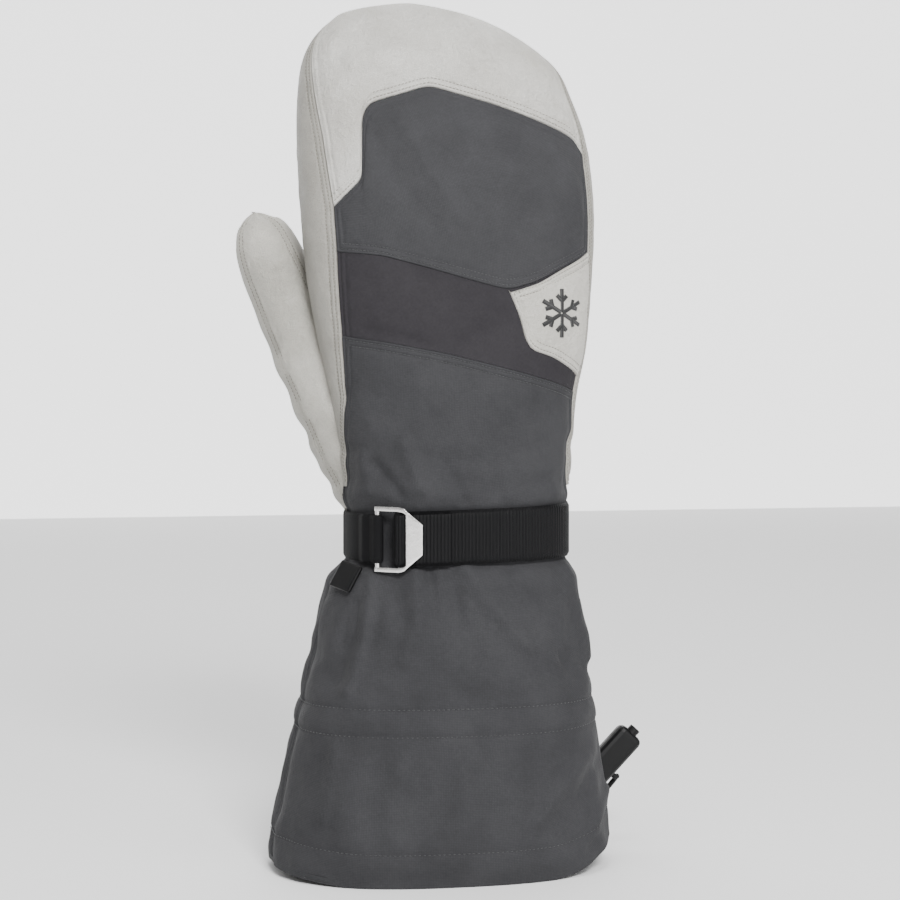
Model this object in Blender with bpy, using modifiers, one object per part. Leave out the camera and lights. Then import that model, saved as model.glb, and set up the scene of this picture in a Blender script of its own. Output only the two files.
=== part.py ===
"""Gauntlet ski mitten for the right hand.

The mitten stands on its hem with the fingertips up (+Z). The back of the hand faces -Y,
the palm faces +Y and the thumb points towards -X. All lengths are in metres.
"""
import math

import bmesh
import bpy
import numpy as np
from mathutils import Matrix, Vector

# ---- overall sizes -------------------------------------------------------------------------
LENGTH = 0.396            # hem to fingertip
WRIST_HEIGHT = 0.153      # hem to the middle of the wrist strap
HEM_WIDTH = 0.158
HEM_DEPTH = 0.108
WRIST_WIDTH = 0.103
WRIST_DEPTH = 0.072
HAND_WIDTH = 0.1366
HAND_DEPTH = 0.066
HEM_RISE = 0.004          # how far the hem rises at the thumb-side seam
HEM_RISE_OUTER = 0.015    # and at the little-finger seam
TIP_LEAN = 0.008          # how far the fingertips curl towards the palm
MIDDLE_X = -0.0076        # the hem's middle, with thumb and toggle balanced about the origin
SQUARENESS = 2.4          # exponent of the superellipse sections
COLUMNS = 20              # points around each section

# ---- fabric build-up, from the outer face inwards -------------------------------------------
GAP = 0.0003
SHELL = 0.0012
ELASTIC_DEPTH, ELASTIC = 0.0016, 0.0006
MEMBRANE_DEPTH, MEMBRANE = 0.0026, 0.0003
PADDING_DEPTH, PADDING = 0.0033, 0.0032
LINING_DEPTH, LINING = 0.0070, 0.0008
GAUNTLET_LINING_DEPTH = 0.0066
THUMB_MEMBRANE_DEPTH = 0.0015
THUMB_PADDING_DEPTH, THUMB_PADDING = 0.0022, 0.0018
THUMB_LINING_DEPTH, THUMB_LINING = 0.0044, 0.0007
PATCH = 0.0010            # palm reinforcement leather
EMBROIDERY = 0.0007
EMBLEM_SIZE = 0.022

# ---- wrist strap ----------------------------------------------------------------------------
WEBBING_WIDTH = 0.0245
WEBBING = 0.0015
TAPE_WIDTH = 0.0215
TAPE = 0.0012
STRAP_GAP = 0.0012        # between the strap and the fabric under it
FOLD_BACK = 0.0118        # webbing sewn back on itself beyond the bow
BOW_LENGTH = 0.0225
BOW_ARM = 0.0020
BOW_FACE = 0.0070
BOW_PLATE = 0.0018
BAR_RADIUS = 0.0011
MIDDLE_BAR = 0.0105       # from the bow's wide end to its middle bar
PULL_TAB_WIDTH, PULL_TAB_LENGTH, PULL_TAB_THICKNESS = 0.0140, 0.0130, 0.0020

# ---- gauntlet drawcord ----------------------------------------------------------------------
CASING_HEIGHT = 0.072     # middle of the stitched drawcord casing
CORD_RADIUS = 0.0013
CORD_DEPTH = 0.0034
CORD_HOLE = 0.0018
EYELET_RADIUS, EYELET_HOLE, EYELET_THICKNESS = 0.0042, 0.0023, 0.0010
TOGGLE_SIDE = 0.027       # how far behind the mitten's middle plane the toggle lies
TOGGLE_HEIGHT = 0.029     # height of the toggle's pin
TOGGLE_STAND_OFF = 0.0072 # from the gauntlet's surface to the pin
TOGGLE_LENGTH, TOGGLE_WIDTH, TOGGLE_THICKNESS = 0.0360, 0.0140, 0.0084
TOGGLE_TILT = math.radians(46)
TOGGLE_CORD = 0.0125      # from the toggle's pin to its cord hole
BUTTON_RADIUS, BUTTON_PROUD, BUTTON_TRAVEL = 0.0028, 0.0026, 0.0022
SPRING_LENGTH, SPRING_TURNS, SPRING_WIRE = 0.0042, 3.0, 0.0003
PIN_RADIUS = 0.0010
TAB_WIDTH, TAB_THICKNESS = 0.0040, 0.0008
CORD_END_RADIUS, CORD_END_LENGTH = 0.0023, 0.0090

# Sections of the gauntlet: share of the height from hem to wrist, share of the taper done.
GAUNTLET = [(0.0, 0.0), (0.12, 0.04), (0.40, 0.30), (0.66, 0.54), (0.84, 0.74)]
# Sections of the hand: share of the height from wrist to fingertip, then the width, the
# depth and the sideways shift as shares of the hand's width and depth.
HAND = [
    (0.15, 0.790, 1.06, 0.056),
    (0.25, 0.832, 1.02, 0.050),
    (0.35, 0.905, 1.00, 0.050),
    (0.46, 0.960, 1.00, 0.040),
    (0.57, 0.992, 0.99, 0.036),
    (0.66, 0.998, 0.97, 0.028),
    (0.75, 0.980, 0.93, 0.014),
    (0.82, 0.935, 0.86, -0.005),
    (0.88, 0.872, 0.76, -0.023),
    (0.925, 0.745, 0.63, -0.054),
    (0.960, 0.580, 0.47, -0.083),
    (0.985, 0.360, 0.28, -0.108),
]
PALM_START = 0.09         # height share at which the palm leather starts
TIP_SHIFT = -0.075        # sideways place of the fingertip, in hand widths
# Left and right seams between the palm leather and the back: height share, side share.
LEFT_SEAM = [(0.18, -0.99), (0.25, -0.944), (0.3724, -0.890), (0.45, -0.862), (0.526, -0.846),
             (0.609, -0.840), (0.73, -0.878), (0.85, -0.950), (0.93, -1.02)]
RIGHT_SEAM = [(0.10, 0.95), (0.268, 0.940), (0.2975, 0.940), (0.40, 0.932), (0.530, 0.926),
              (0.715, 0.920), (0.85, 0.942)]
# Edges across the back, each from the left seam to the right: side share, height share.
CAP_EDGE = [(-0.84, 0.609), (-0.65, 0.660), (-0.62, 0.775), (-0.57, 0.800), (-0.13, 0.835),
            (0.32, 0.802), (0.60, 0.775), (0.86, 0.745), (0.92, 0.715)]
BAND_TOP = [(-0.846, 0.526), (-0.56, 0.519), (-0.257, 0.497), (0.09, 0.471), (0.306, 0.457)]
BAND_FOOT = [(-0.89, 0.3724), (-0.592, 0.361), (-0.175, 0.341), (0.26, 0.315), (0.575, 0.296),
             (0.94, 0.268)]
PATCH_TOP = [(0.306, 0.457), (0.522, 0.473), (0.697, 0.498), (0.926, 0.530)]
PATCH_FOOT = [(0.306, 0.457), (0.385, 0.409), (0.431, 0.366), (0.484, 0.346), (0.665, 0.333),
              (0.814, 0.315), (0.940, 0.2975)]
PALM_PATCH = [(-0.10, 0.16), (0.45, 0.16), (0.66, 0.30), (0.66, 0.66), (0.40, 0.78),
              (-0.35, 0.78), (-0.52, 0.60), (-0.36, 0.42), (-0.12, 0.32)]

# Thumb sections: centre x, y and height from the hem, half-width and half-depth, for a hand
# HAND_WIDTH_DRAWN wide; the centres move out with a wider hand.
HAND_WIDTH_DRAWN = 0.1366
THUMB = [
    (-0.0120, 0.0080, 0.145, 0.0160, 0.0150),
    (-0.0240, 0.0110, 0.168, 0.0185, 0.0160),
    (-0.0350, 0.0140, 0.190, 0.0195, 0.0165),
    (-0.0450, 0.0170, 0.212, 0.0190, 0.0165),
    (-0.0550, 0.0200, 0.234, 0.0182, 0.0160),
    (-0.0645, 0.0230, 0.256, 0.0170, 0.0150),
    (-0.0730, 0.0250, 0.277, 0.0152, 0.0138),
    (-0.0770, 0.0262, 0.289, 0.0118, 0.0110),
    (-0.0793, 0.0268, 0.296, 0.0070, 0.0068),
]
THUMB_TIP = (-0.0803, 0.0270, 0.3005)
THUMB_COLUMNS = 14

LEATHER, DARK_LEATHER = (0.62, 0.60, 0.58), (0.42, 0.40, 0.37)
FABRIC, BAND_FABRIC = (0.090, 0.091, 0.094), (0.075, 0.070, 0.076)
BLACK, METAL = (0.012, 0.012, 0.012), (0.80, 0.79, 0.78)
FILL, FLEECE = (0.75, 0.76, 0.74), (0.05, 0.05, 0.055)

for leftover in list(bpy.data.objects):
    bpy.data.objects.remove(leftover)

parts = bpy.data.collections.new("ski_mitten")
cutters = bpy.data.collections.new("cutters")
bpy.context.scene.collection.children.link(parts)
bpy.context.scene.collection.children.link(cutters)


# ---- general tools --------------------------------------------------------------------------
def material(name, colour, roughness, metallic=0.0):
    """A Principled BSDF material."""
    made = bpy.data.materials.new(name)
    made.use_nodes = True
    shader = made.node_tree.nodes["Principled BSDF"]
    shader.inputs["Base Color"].default_value = (*colour, 1.0)
    shader.inputs["Roughness"].default_value = roughness
    shader.inputs["Metallic"].default_value = metallic
    return made


def place(name, mesh, finish, collection=parts):
    """Link an object with the mesh and its own material."""
    made = bpy.data.objects.new(name, mesh)
    collection.objects.link(made)
    if collection is cutters:
        made.hide_render = True
        made.display_type = "WIRE"
    else:
        mesh.materials.append(material(f"{name}_finish", *finish))
    return made


def mesh_from(name, points, faces):
    """A mesh whose faces are turned to point outwards."""
    mesh = bpy.data.meshes.new(name)
    mesh.from_pydata([tuple(p) for p in points], [], faces)
    work = bmesh.new()
    work.from_mesh(mesh)
    bmesh.ops.recalc_face_normals(work, faces=work.faces)
    work.to_mesh(mesh)
    work.free()
    mesh.shade_smooth()
    mesh.set_sharp_from_angle(angle=math.radians(45))
    return mesh


def loft(name, outer, inner=None, around=True, apexes=None):
    """Close a lofted sheet: outer and inner grids of points joined along every open edge.

    outer and inner are arrays of rows by columns by 3. With no inner grid the loft is a
    solid whose first row is filled. apexes holds the tip points above the last rows.
    """
    rows, columns = outer.shape[:2]
    steps = columns if around else columns - 1
    points = list(outer.reshape(-1, 3))
    layers = [0]
    if inner is not None:
        layers.append(len(points))
        points += list(inner.reshape(-1, 3))
    faces = []
    for base in layers:
        for row in range(rows - 1):
            for column in range(steps):
                a = base + row * columns + column
                b = base + row * columns + (column + 1) % columns
                faces.append((a, b, b + columns, a + columns))
        if apexes is not None:
            points.append(apexes[layers.index(base)])
            last = base + (rows - 1) * columns
            for column in range(steps):
                faces.append((last + column, last + (column + 1) % columns, len(points) - 1))
    if inner is None:
        faces.append(tuple(range(columns)))
        if apexes is None:
            faces.append(tuple(range((rows - 1) * columns, rows * columns)))
        return mesh_from(name, points, faces)
    rims = [0] if apexes is not None else [0, (rows - 1) * columns]
    for start in rims:
        for column in range(steps):
            a, b = start + column, start + (column + 1) % columns
            faces.append((a, b, b + layers[1], a + layers[1]))
    if not around:
        for start in (0, columns - 1):
            for row in range(rows - 1):
                a = start + row * columns
                faces.append((a, a + columns, a + columns + layers[1], a + layers[1]))
    return mesh_from(name, points, faces)


def outline_prism(name, points, low, high, collection=cutters, finish=None):
    """A flat outline in the XZ plane carried along Y from low to high."""
    front = [(x, low, z) for x, z in points]
    back = [(x, high, z) for x, z in points]
    count = len(points)
    faces = [tuple(range(count)), tuple(range(2 * count - 1, count - 1, -1))]
    faces += [(i, (i + 1) % count, (i + 1) % count + count, i + count) for i in range(count)]
    return place(name, mesh_from(name, front + back, faces), finish, collection)


def grown(points, distance):
    """Move every edge of a closed outline outwards by the distance."""
    area = sum(a[0] * b[1] - b[0] * a[1] for a, b in zip(points, points[1:] + points[:1]))
    turn = 1.0 if area > 0 else -1.0
    moved = []
    for index, here in enumerate(points):
        before = Vector(here) - Vector(points[index - 1])
        after = Vector(points[(index + 1) % len(points)]) - Vector(here)
        first = Vector((before.y, -before.x)).normalized() * turn
        second = Vector((after.y, -after.x)).normalized() * turn
        middle = (first + second).normalized()
        shift = middle * (distance / max(middle.dot(first), 0.4))
        moved.append((here[0] + shift.x, here[1] + shift.y))
    return moved


def block(name, low, high):
    """A box cutter between two corners."""
    mesh = bpy.data.meshes.new(name)
    work = bmesh.new()
    bmesh.ops.create_cube(work, size=1.0)
    size = Vector(high) - Vector(low)
    bmesh.ops.scale(work, vec=size, verts=work.verts)
    bmesh.ops.translate(work, vec=(Vector(low) + Vector(high)) / 2, verts=work.verts)
    work.to_mesh(mesh)
    work.free()
    return place(name, mesh, None, cutters)


def cylinder(name, radius, start, end, sides=16, collection=cutters, finish=None):
    """A cylinder between two points."""
    start, end = Vector(start), Vector(end)
    mesh = bpy.data.meshes.new(name)
    work = bmesh.new()
    bmesh.ops.create_cone(work, cap_ends=True, segments=sides, radius1=radius, radius2=radius,
                          depth=(end - start).length)
    turn = (end - start).to_track_quat("Z", "Y").to_matrix().to_4x4()
    bmesh.ops.transform(work, matrix=Matrix.Translation((start + end) / 2) @ turn,
                        verts=work.verts)
    work.to_mesh(mesh)
    work.free()
    mesh.shade_smooth()
    mesh.set_sharp_from_angle(angle=math.radians(40))
    return place(name, mesh, finish, collection)


def carve(target, cutter, operation="DIFFERENCE"):
    """Add a Boolean modifier with the exact solver."""
    modifier = target.modifiers.new(f"{operation.lower()} {cutter.name}", "BOOLEAN")
    modifier.operation = operation
    modifier.object = cutter
    modifier.solver = "EXACT"


def curve_mesh(name, curve, finish, collection=parts, matrix=None):
    """Turn a curve into a welded mesh object."""
    guide = bpy.data.objects.new(f"{name}_curve", curve)
    cutters.objects.link(guide)
    if matrix is not None:
        guide.matrix_world = matrix
    bpy.context.view_layer.update()
    graph = bpy.context.evaluated_depsgraph_get()
    mesh = bpy.data.meshes.new_from_object(guide.evaluated_get(graph))
    mesh.transform(guide.matrix_world)
    bpy.data.objects.remove(guide)
    work = bmesh.new()
    work.from_mesh(mesh)
    bmesh.ops.remove_doubles(work, verts=work.verts, dist=0.00001)
    bmesh.ops.recalc_face_normals(work, faces=work.faces)
    work.to_mesh(mesh)
    work.free()
    mesh.materials.clear()
    return place(name, mesh, finish, collection)


def flat_plate(name, outlines, thickness, matrix, finish, collection=parts):
    """Closed 2D outlines, the later ones holes in the first, filled and extruded."""
    curve = bpy.data.curves.new(name, "CURVE")
    curve.dimensions = "2D"
    curve.fill_mode = "BOTH"
    curve.extrude = thickness / 2
    for outline in outlines:
        spline = curve.splines.new("POLY")
        spline.points.add(len(outline) - 1)
        spline.use_cyclic_u = True
        for point, (x, y) in zip(spline.points, outline):
            point.co = (x, y, 0.0, 1.0)
    return curve_mesh(name, curve, finish, collection, matrix)


def tube(name, points, radius, finish, collection=parts):
    """A round cord through the points, with filled ends."""
    curve = bpy.data.curves.new(name, "CURVE")
    curve.dimensions = "3D"
    curve.bevel_depth = radius
    curve.bevel_resolution = 2
    curve.use_fill_caps = True
    spline = curve.splines.new("POLY")
    spline.points.add(len(points) - 1)
    for point, place_at in zip(spline.points, points):
        point.co = (*place_at, 1.0)
    return curve_mesh(name, curve, finish, collection)


# ---- the mitten's form ----------------------------------------------------------------------
def section_list():
    """Height, middle x, half-width, half-depth and middle y of every section, hem to tip."""
    wrist_shift = 0.056 * HAND_WIDTH
    sections = []
    for up, taper in GAUNTLET:
        sections.append((up * WRIST_HEIGHT, wrist_shift * taper,
                         (HEM_WIDTH + (WRIST_WIDTH - HEM_WIDTH) * taper) / 2,
                         (HEM_DEPTH + (WRIST_DEPTH - HEM_DEPTH) * taper) / 2, 0.0))
    for side, extra in ((-1, 0.0010), (0, 0.0), (1, 0.0006)):
        sections.append((WRIST_HEIGHT + side * (WEBBING_WIDTH / 2 + 0.0008), wrist_shift,
                         WRIST_WIDTH / 2 + extra, WRIST_DEPTH / 2 + extra, 0.0))
    for up, width, depth, shift in HAND:
        curl = TIP_LEAN * max(0.0, (up - 0.35) / 0.65) ** 2
        sections.append((WRIST_HEIGHT + up * (LENGTH - WRIST_HEIGHT), shift * HAND_WIDTH,
                         max(width * HAND_WIDTH, WRIST_WIDTH * (1.13 - 0.6 * up)) / 2,
                         max(depth * HAND_DEPTH, WRIST_DEPTH * (1.05 - 0.6 * up)) / 2, curl))
    return np.array(sections)


SECTIONS = section_list()
ANGLES = np.arange(COLUMNS) * 2 * math.pi / COLUMNS


def around(section, angles):
    """Points of one superellipse section at the angles, counted from +X towards +Y."""
    height, middle, half_width, half_depth, lean = section
    power = 2 / SQUARENESS
    cosine, sine = np.cos(angles), np.sin(angles)
    x = middle + MIDDLE_X + half_width * np.sign(cosine) * np.abs(cosine) ** power
    y = lean + half_depth * np.sign(sine) * np.abs(sine) ** power
    reach = np.clip((np.abs(x - MIDDLE_X) / half_width - 0.5) / 0.5, 0, 1)
    most = np.where(x > MIDDLE_X, HEM_RISE_OUTER, HEM_RISE)
    rise = most * reach ** 2 * max(0.0, 1 - height / CASING_HEIGHT)
    return np.stack([x, y, height + rise], axis=1)


FORM = np.array([around(section, ANGLES) for section in SECTIONS])
APEX = np.array([TIP_SHIFT * HAND_WIDTH + MIDDLE_X, TIP_LEAN, LENGTH])


def surface_normals(grid, apex):
    """Outward normals of a grid that closes around its columns and ends in an apex."""
    across = np.roll(grid, -1, axis=1) - np.roll(grid, 1, axis=1)
    above = np.concatenate([grid[1:], np.broadcast_to(apex, (1, grid.shape[1], 3))])
    below = np.concatenate([grid[:1], grid[:-1]])
    normals = np.cross(across, above - below)
    return normals / np.linalg.norm(normals, axis=2, keepdims=True)


NORMALS = surface_normals(FORM, APEX)
UP = np.array([0.0, 0.0, 1.0])


def body_layer(depth, low=None):
    """The form moved inwards by the depth, cut level at a height, and its tip point."""
    grid = FORM - depth * NORMALS
    grid[0, :, 2] = FORM[0, :, 2]
    if low is not None:
        first = int(np.argmax(SECTIONS[:, 0] > low))
        share = (low - SECTIONS[first - 1, 0]) / (SECTIONS[first, 0] - SECTIONS[first - 1, 0])
        cut = grid[first - 1] + (grid[first] - grid[first - 1]) * share
        grid = np.concatenate([cut[None], grid[first:]])
    return grid, APEX - depth * UP


def body_shell(name, depth, thickness, low=None):
    """A closed skin of the form between two depths."""
    outer, outer_tip = body_layer(depth, low)
    inner, inner_tip = body_layer(depth + thickness, low)
    return loft(name, outer, inner, True, (outer_tip, inner_tip))


def gauntlet_shell(name, depth, thickness, low, high):
    """A closed ring of the gauntlet's form between two heights."""
    grids = []
    heights = SECTIONS[:, 0]
    levels = [low] + [h for h in heights if low + 0.002 < h < high - 0.002] + [high]
    for level in (depth, depth + thickness):
        full = body_layer(level)[0]
        rows = []
        for height in levels:
            above = int(np.clip(np.searchsorted(heights, height), 1, len(heights) - 1))
            share = (height - heights[above - 1]) / (heights[above] - heights[above - 1])
            rows.append(full[above - 1] + (full[above] - full[above - 1]) * share)
        grids.append(np.array(rows))
    return loft(name, grids[0], grids[1])


def body_solid(depth):
    """The form's filled solid at a depth, used as a cutter."""
    grid, tip = body_layer(depth)
    return place(f"body_at_{depth * 1000:.2f}", loft("body", grid, None, True, (tip,)), None, cutters)


def thumb_grid():
    """Rings of the thumb square to its centre line, and the outward directions."""
    out = [MIDDLE_X - 0.5 * (HAND_WIDTH - HAND_WIDTH_DRAWN), 0, 0]
    centres = np.array([row[:3] for row in THUMB]) + out
    tip = np.array(THUMB_TIP) + out
    line = np.concatenate([centres, tip[None]])
    angles = np.arange(THUMB_COLUMNS) * 2 * math.pi / THUMB_COLUMNS
    rings = []
    for index, row in enumerate(THUMB):
        along = line[index + 1] - line[max(index - 1, 0)]
        along /= np.linalg.norm(along)
        side = np.cross([0, 1, 0], along)
        side /= np.linalg.norm(side)
        deep = np.cross(along, side)
        ring = centres[index] + np.outer(np.cos(angles) * row[3], side)
        rings.append(ring + np.outer(np.sin(angles) * row[4], deep))
    grid = np.array(rings)
    return grid, surface_normals(grid, tip), tip, (tip - centres[-1]) / np.linalg.norm(tip - centres[-1])


THUMB_FORM, THUMB_NORMALS, THUMB_APEX, THUMB_AXIS = thumb_grid()
if np.einsum("ijk,ijk->", THUMB_NORMALS, THUMB_FORM - THUMB_FORM.mean(axis=1, keepdims=True)) < 0:
    THUMB_NORMALS = -THUMB_NORMALS


def thumb_layer(depth):
    """The thumb's form moved inwards by the depth, and its tip point."""
    return THUMB_FORM - depth * THUMB_NORMALS, THUMB_APEX - depth * THUMB_AXIS


def thumb_shell(name, depth, thickness):
    """A closed skin of the thumb between two depths."""
    outer, outer_tip = thumb_layer(depth)
    inner, inner_tip = thumb_layer(depth + thickness)
    return loft(name, outer, inner, True, (outer_tip, inner_tip))


def thumb_solid(depth):
    """The thumb's filled solid at a depth, used as a cutter."""
    grid, tip = thumb_layer(depth)
    return place(f"thumb_at_{depth * 1000:.2f}", loft("thumb", grid, None, True, (tip,)), None, cutters)


def on_hand(side, up):
    """The x and z of a place given as shares of the half-width and of the hand's height."""
    height = WRIST_HEIGHT + up * (LENGTH - WRIST_HEIGHT)
    middle = np.interp(height, SECTIONS[:, 0], SECTIONS[:, 1])
    half = np.interp(height, SECTIONS[:, 0], SECTIONS[:, 2])
    return (float(middle + side * half + MIDDLE_X), float(height))


def hand_outline(*stretches):
    """A closed outline from stretches of (side, up) places."""
    return [on_hand(side, up) for stretch in stretches for side, up in stretch]


def seam_between(seam, low, high):
    """The places of a seam strictly between two heights, bottom to top."""
    return [(side, up) for up, side in seam if low + 0.004 < up < high - 0.004]


def flip(edge):
    """The same places in the other order."""
    return list(reversed(edge))


FRONT = -0.09             # a plane well in front of the mitten
THROUGH = 0.5 * GAP       # every seam gap is shared by its two pieces

# ---- outer panels ---------------------------------------------------------------------------
skin = (LEATHER, 0.55)
cloth = (FABRIC, 0.85)

upper_outline = hand_outline(
    BAND_TOP, PATCH_TOP[1:], seam_between(RIGHT_SEAM, 0.53, 0.715), flip(CAP_EDGE),
    flip(seam_between(LEFT_SEAM, 0.526, 0.609)))
band_outline = hand_outline(
    BAND_FOOT, flip(PATCH_FOOT), flip(BAND_TOP[:-1]),
    flip(seam_between(LEFT_SEAM, 0.3724, 0.526)))
patch_outline = hand_outline(
    PATCH_FOOT, seam_between(RIGHT_SEAM, 0.2975, 0.53), flip(PATCH_TOP[1:]))
lower_outline = hand_outline(
    [(-1.15, 0.0), (1.15, 0.0), (1.15, PALM_START)], seam_between(RIGHT_SEAM, 0.0, 0.268), flip(BAND_FOOT),
    flip(seam_between(LEFT_SEAM, 0.15, 0.3724)), [(-1.15, 0.14)])
cap_outline = hand_outline(
    CAP_EDGE, seam_between(RIGHT_SEAM, 0.715, 0.90), [(0.98, 0.91), (1.6, 0.95)],
    [(1.6, 1.05), (-1.6, 1.05), (-1.6, 0.95)], flip(seam_between(LEFT_SEAM, 0.609, 0.98)))
back_outline = hand_outline(
    [(-1.15, 0.0), (1.15, 0.0), (1.15, PALM_START)], seam_between(RIGHT_SEAM, 0.0, 0.90),
    [(0.98, 0.91), (1.6, 0.95), (1.6, 1.05), (-1.6, 1.05), (-1.6, 0.95)],
    flip(seam_between(LEFT_SEAM, 0.15, 0.98)), [(-1.15, 0.14)])


def back_panel(name, outline, finish, to_y=-THROUGH):
    """A piece of the outer shell inside an outline on the back of the hand."""
    made = place(name, body_shell(name, 0.0, SHELL), finish)
    cutter = outline_prism(f"{name}_outline", grown(outline, -THROUGH), FRONT, to_y)
    carve(made, cutter, "INTERSECT")
    return made


back_panel("back_upper_panel", upper_outline, cloth)
back_panel("knuckle_band", band_outline, (BAND_FABRIC, 0.85))
back_panel("knuckle_patch", patch_outline, (LEATHER, 0.55))
back_panel("back_lower_panel", lower_outline, cloth)
back_panel("fingertip_cap", cap_outline, skin, TIP_LEAN)

palm_top = WRIST_HEIGHT + PALM_START * (LENGTH - WRIST_HEIGHT)
back_cutter = outline_prism("back_region", grown(back_outline, THROUGH), FRONT, THROUGH)
cap_cutter = outline_prism("cap_region", grown(cap_outline, THROUGH), FRONT, TIP_LEAN + GAP)
palm = place("palm_panel", body_shell("palm_panel", 0.0, SHELL), skin)
carve(palm, back_cutter)
carve(palm, cap_cutter)
carve(palm, block("below_palm", (-0.2, -0.2, -0.1), (0.2, 0.2, palm_top + THROUGH)))
thumb_opening = thumb_solid(SHELL)
below_thumb = block("below_thumb", (-0.2, -0.2, -0.1), (0.2, 0.2, palm_top + THROUGH))
carve(palm, thumb_opening)

front_gauntlet = place("gauntlet_back_panel", body_shell("gauntlet_back", 0.0, SHELL), cloth)
carve(front_gauntlet, block("above_wrist", (-0.2, -0.2, WRIST_HEIGHT - THROUGH), (0.2, 0.2, 0.6)))
carve(front_gauntlet, block("palm_side", (-0.2, -THROUGH, -0.1), (0.2, 0.2, 0.6)))
palm_gauntlet = place("gauntlet_palm_panel", body_shell("gauntlet_palm", 0.0, SHELL), cloth)
carve(palm_gauntlet, block("above_palm", (-0.2, -0.2, palm_top - THROUGH), (0.2, 0.2, 0.6)))
carve(palm_gauntlet, block("back_side", (-0.2, -0.2, -0.1), (0.2, THROUGH, 0.6)))

patch_shell = body_shell("palm_patch", -GAP - PATCH, PATCH)
palm_patch = place("palm_reinforcement", patch_shell, (DARK_LEATHER, 0.6))
carve(palm_patch, outline_prism("palm_patch_outline", hand_outline(PALM_PATCH), 0.004, 0.09), "INTERSECT")
carve(palm_patch, thumb_solid(-GAP - 0.001))

# ---- emblem: a six-armed snow crystal embroidered on the knuckle patch ---------------------
emblem_x, emblem_z = on_hand(0.70, 0.415)


def crystal_outline(size):
    """Six arms with a pair of side branches on each, as one closed outline."""
    arm, branch, width = size / 2, size * 0.16, size * 0.045
    points = []
    for step in range(6):
        turn = step * math.pi / 3 + math.pi / 6
        local = [(width * 2.1, -width), (arm * 0.50, -width), (arm * 0.50 + branch * 0.7, -width - branch),
                 (arm * 0.50 + branch * 0.7 + width * 1.6, -width - branch + width),
                 (arm * 0.50 + width * 2.4, -width), (arm, -width * 0.8), (arm, width * 0.8),
                 (arm * 0.50 + width * 2.4, width),
                 (arm * 0.50 + branch * 0.7 + width * 1.6, width + branch - width),
                 (arm * 0.50 + branch * 0.7, width + branch), (arm * 0.50, width), (width * 2.1, width)]
        for along, across in local:
            points.append((emblem_x + along * math.cos(turn) - across * math.sin(turn),
                           emblem_z + along * math.sin(turn) + across * math.cos(turn)))
    return points


emblem = place("knuckle_emblem", body_shell("emblem", -GAP - EMBROIDERY, EMBROIDERY), (BLACK, 0.7))
carve(emblem, outline_prism("emblem_outline", crystal_outline(EMBLEM_SIZE), FRONT, 0.0), "INTERSECT")

# ---- layers inside --------------------------------------------------------------------------
inner_foot = 0.092        # where the hand's inner layers end, inside the gauntlet
membrane = place("waterproof_membrane", body_shell("membrane", MEMBRANE_DEPTH, MEMBRANE, inner_foot),
                 ((0.55, 0.60, 0.62), 0.5))
carve(membrane, thumb_solid(THUMB_MEMBRANE_DEPTH + MEMBRANE))
thumb_membrane = place("thumb_membrane", thumb_shell("thumb_membrane", THUMB_MEMBRANE_DEPTH, MEMBRANE),
                       ((0.55, 0.60, 0.62), 0.5))
carve(thumb_membrane, body_solid(MEMBRANE_DEPTH - GAP))
carve(thumb_membrane, below_thumb)
padding_opening = thumb_solid(THUMB_PADDING_DEPTH + THUMB_PADDING)
for name, near, far in (("back_insulation", -0.2, -THROUGH), ("palm_insulation", THROUGH, 0.2)):
    padding = place(name, body_shell(name, PADDING_DEPTH, PADDING, inner_foot + 0.001), (FILL, 0.9))
    carve(padding, block(f"{name}_half", (-0.2, near, 0.0), (0.2, far, 0.6)), "INTERSECT")
    carve(padding, padding_opening)
lining_shell = body_shell("hand_lining", LINING_DEPTH, LINING, inner_foot + 0.002)
lining = place("hand_lining", lining_shell, (FLEECE, 0.95))
carve(lining, thumb_solid(THUMB_LINING_DEPTH + THUMB_LINING))
place("gauntlet_lining", gauntlet_shell("gauntlet_lining", GAUNTLET_LINING_DEPTH, LINING, 0.020,
                                        inner_foot - 0.001), (FLEECE, 0.9))
place("hem_facing", gauntlet_shell("hem_facing", SHELL + GAP, 0.0010, 0.0006, 0.0165), cloth)
elastic = place("wrist_elastic", gauntlet_shell("elastic", ELASTIC_DEPTH, ELASTIC, WRIST_HEIGHT - 0.006,
                                                WRIST_HEIGHT + 0.006), (BLACK, 0.8))
carve(elastic, block("elastic_front", (-0.2, -0.2, 0.0), (0.2, 0.002, 0.6)))

# ---- thumb ----------------------------------------------------------------------------------
above_palm = body_solid(-GAP)


def thumb_panel(name, first, last):
    """A leather panel of the thumb over a run of its columns."""
    outer, outer_tip = thumb_layer(0.0)
    inner, inner_tip = thumb_layer(SHELL)
    picks = [column % THUMB_COLUMNS for column in range(first, last + 1)]
    grids = []
    for grid, tip in ((outer, outer_tip), (inner, inner_tip)):
        closing = grid[-1:] + (tip - grid[-1:]) * 0.94
        part = np.concatenate([grid, closing])[:, picks]
        for edge, inside in ((0, 1), (-1, -2)):
            step = part[:, inside] - part[:, edge]
            length = np.linalg.norm(step, axis=1, keepdims=True)
            part[:, edge] += step * np.minimum(THROUGH / length, 0.3)
        grids.append(part)
    made = place(name, loft(name, grids[0], grids[1], False), skin)
    carve(made, above_palm)
    carve(made, below_thumb)
    return made


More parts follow.
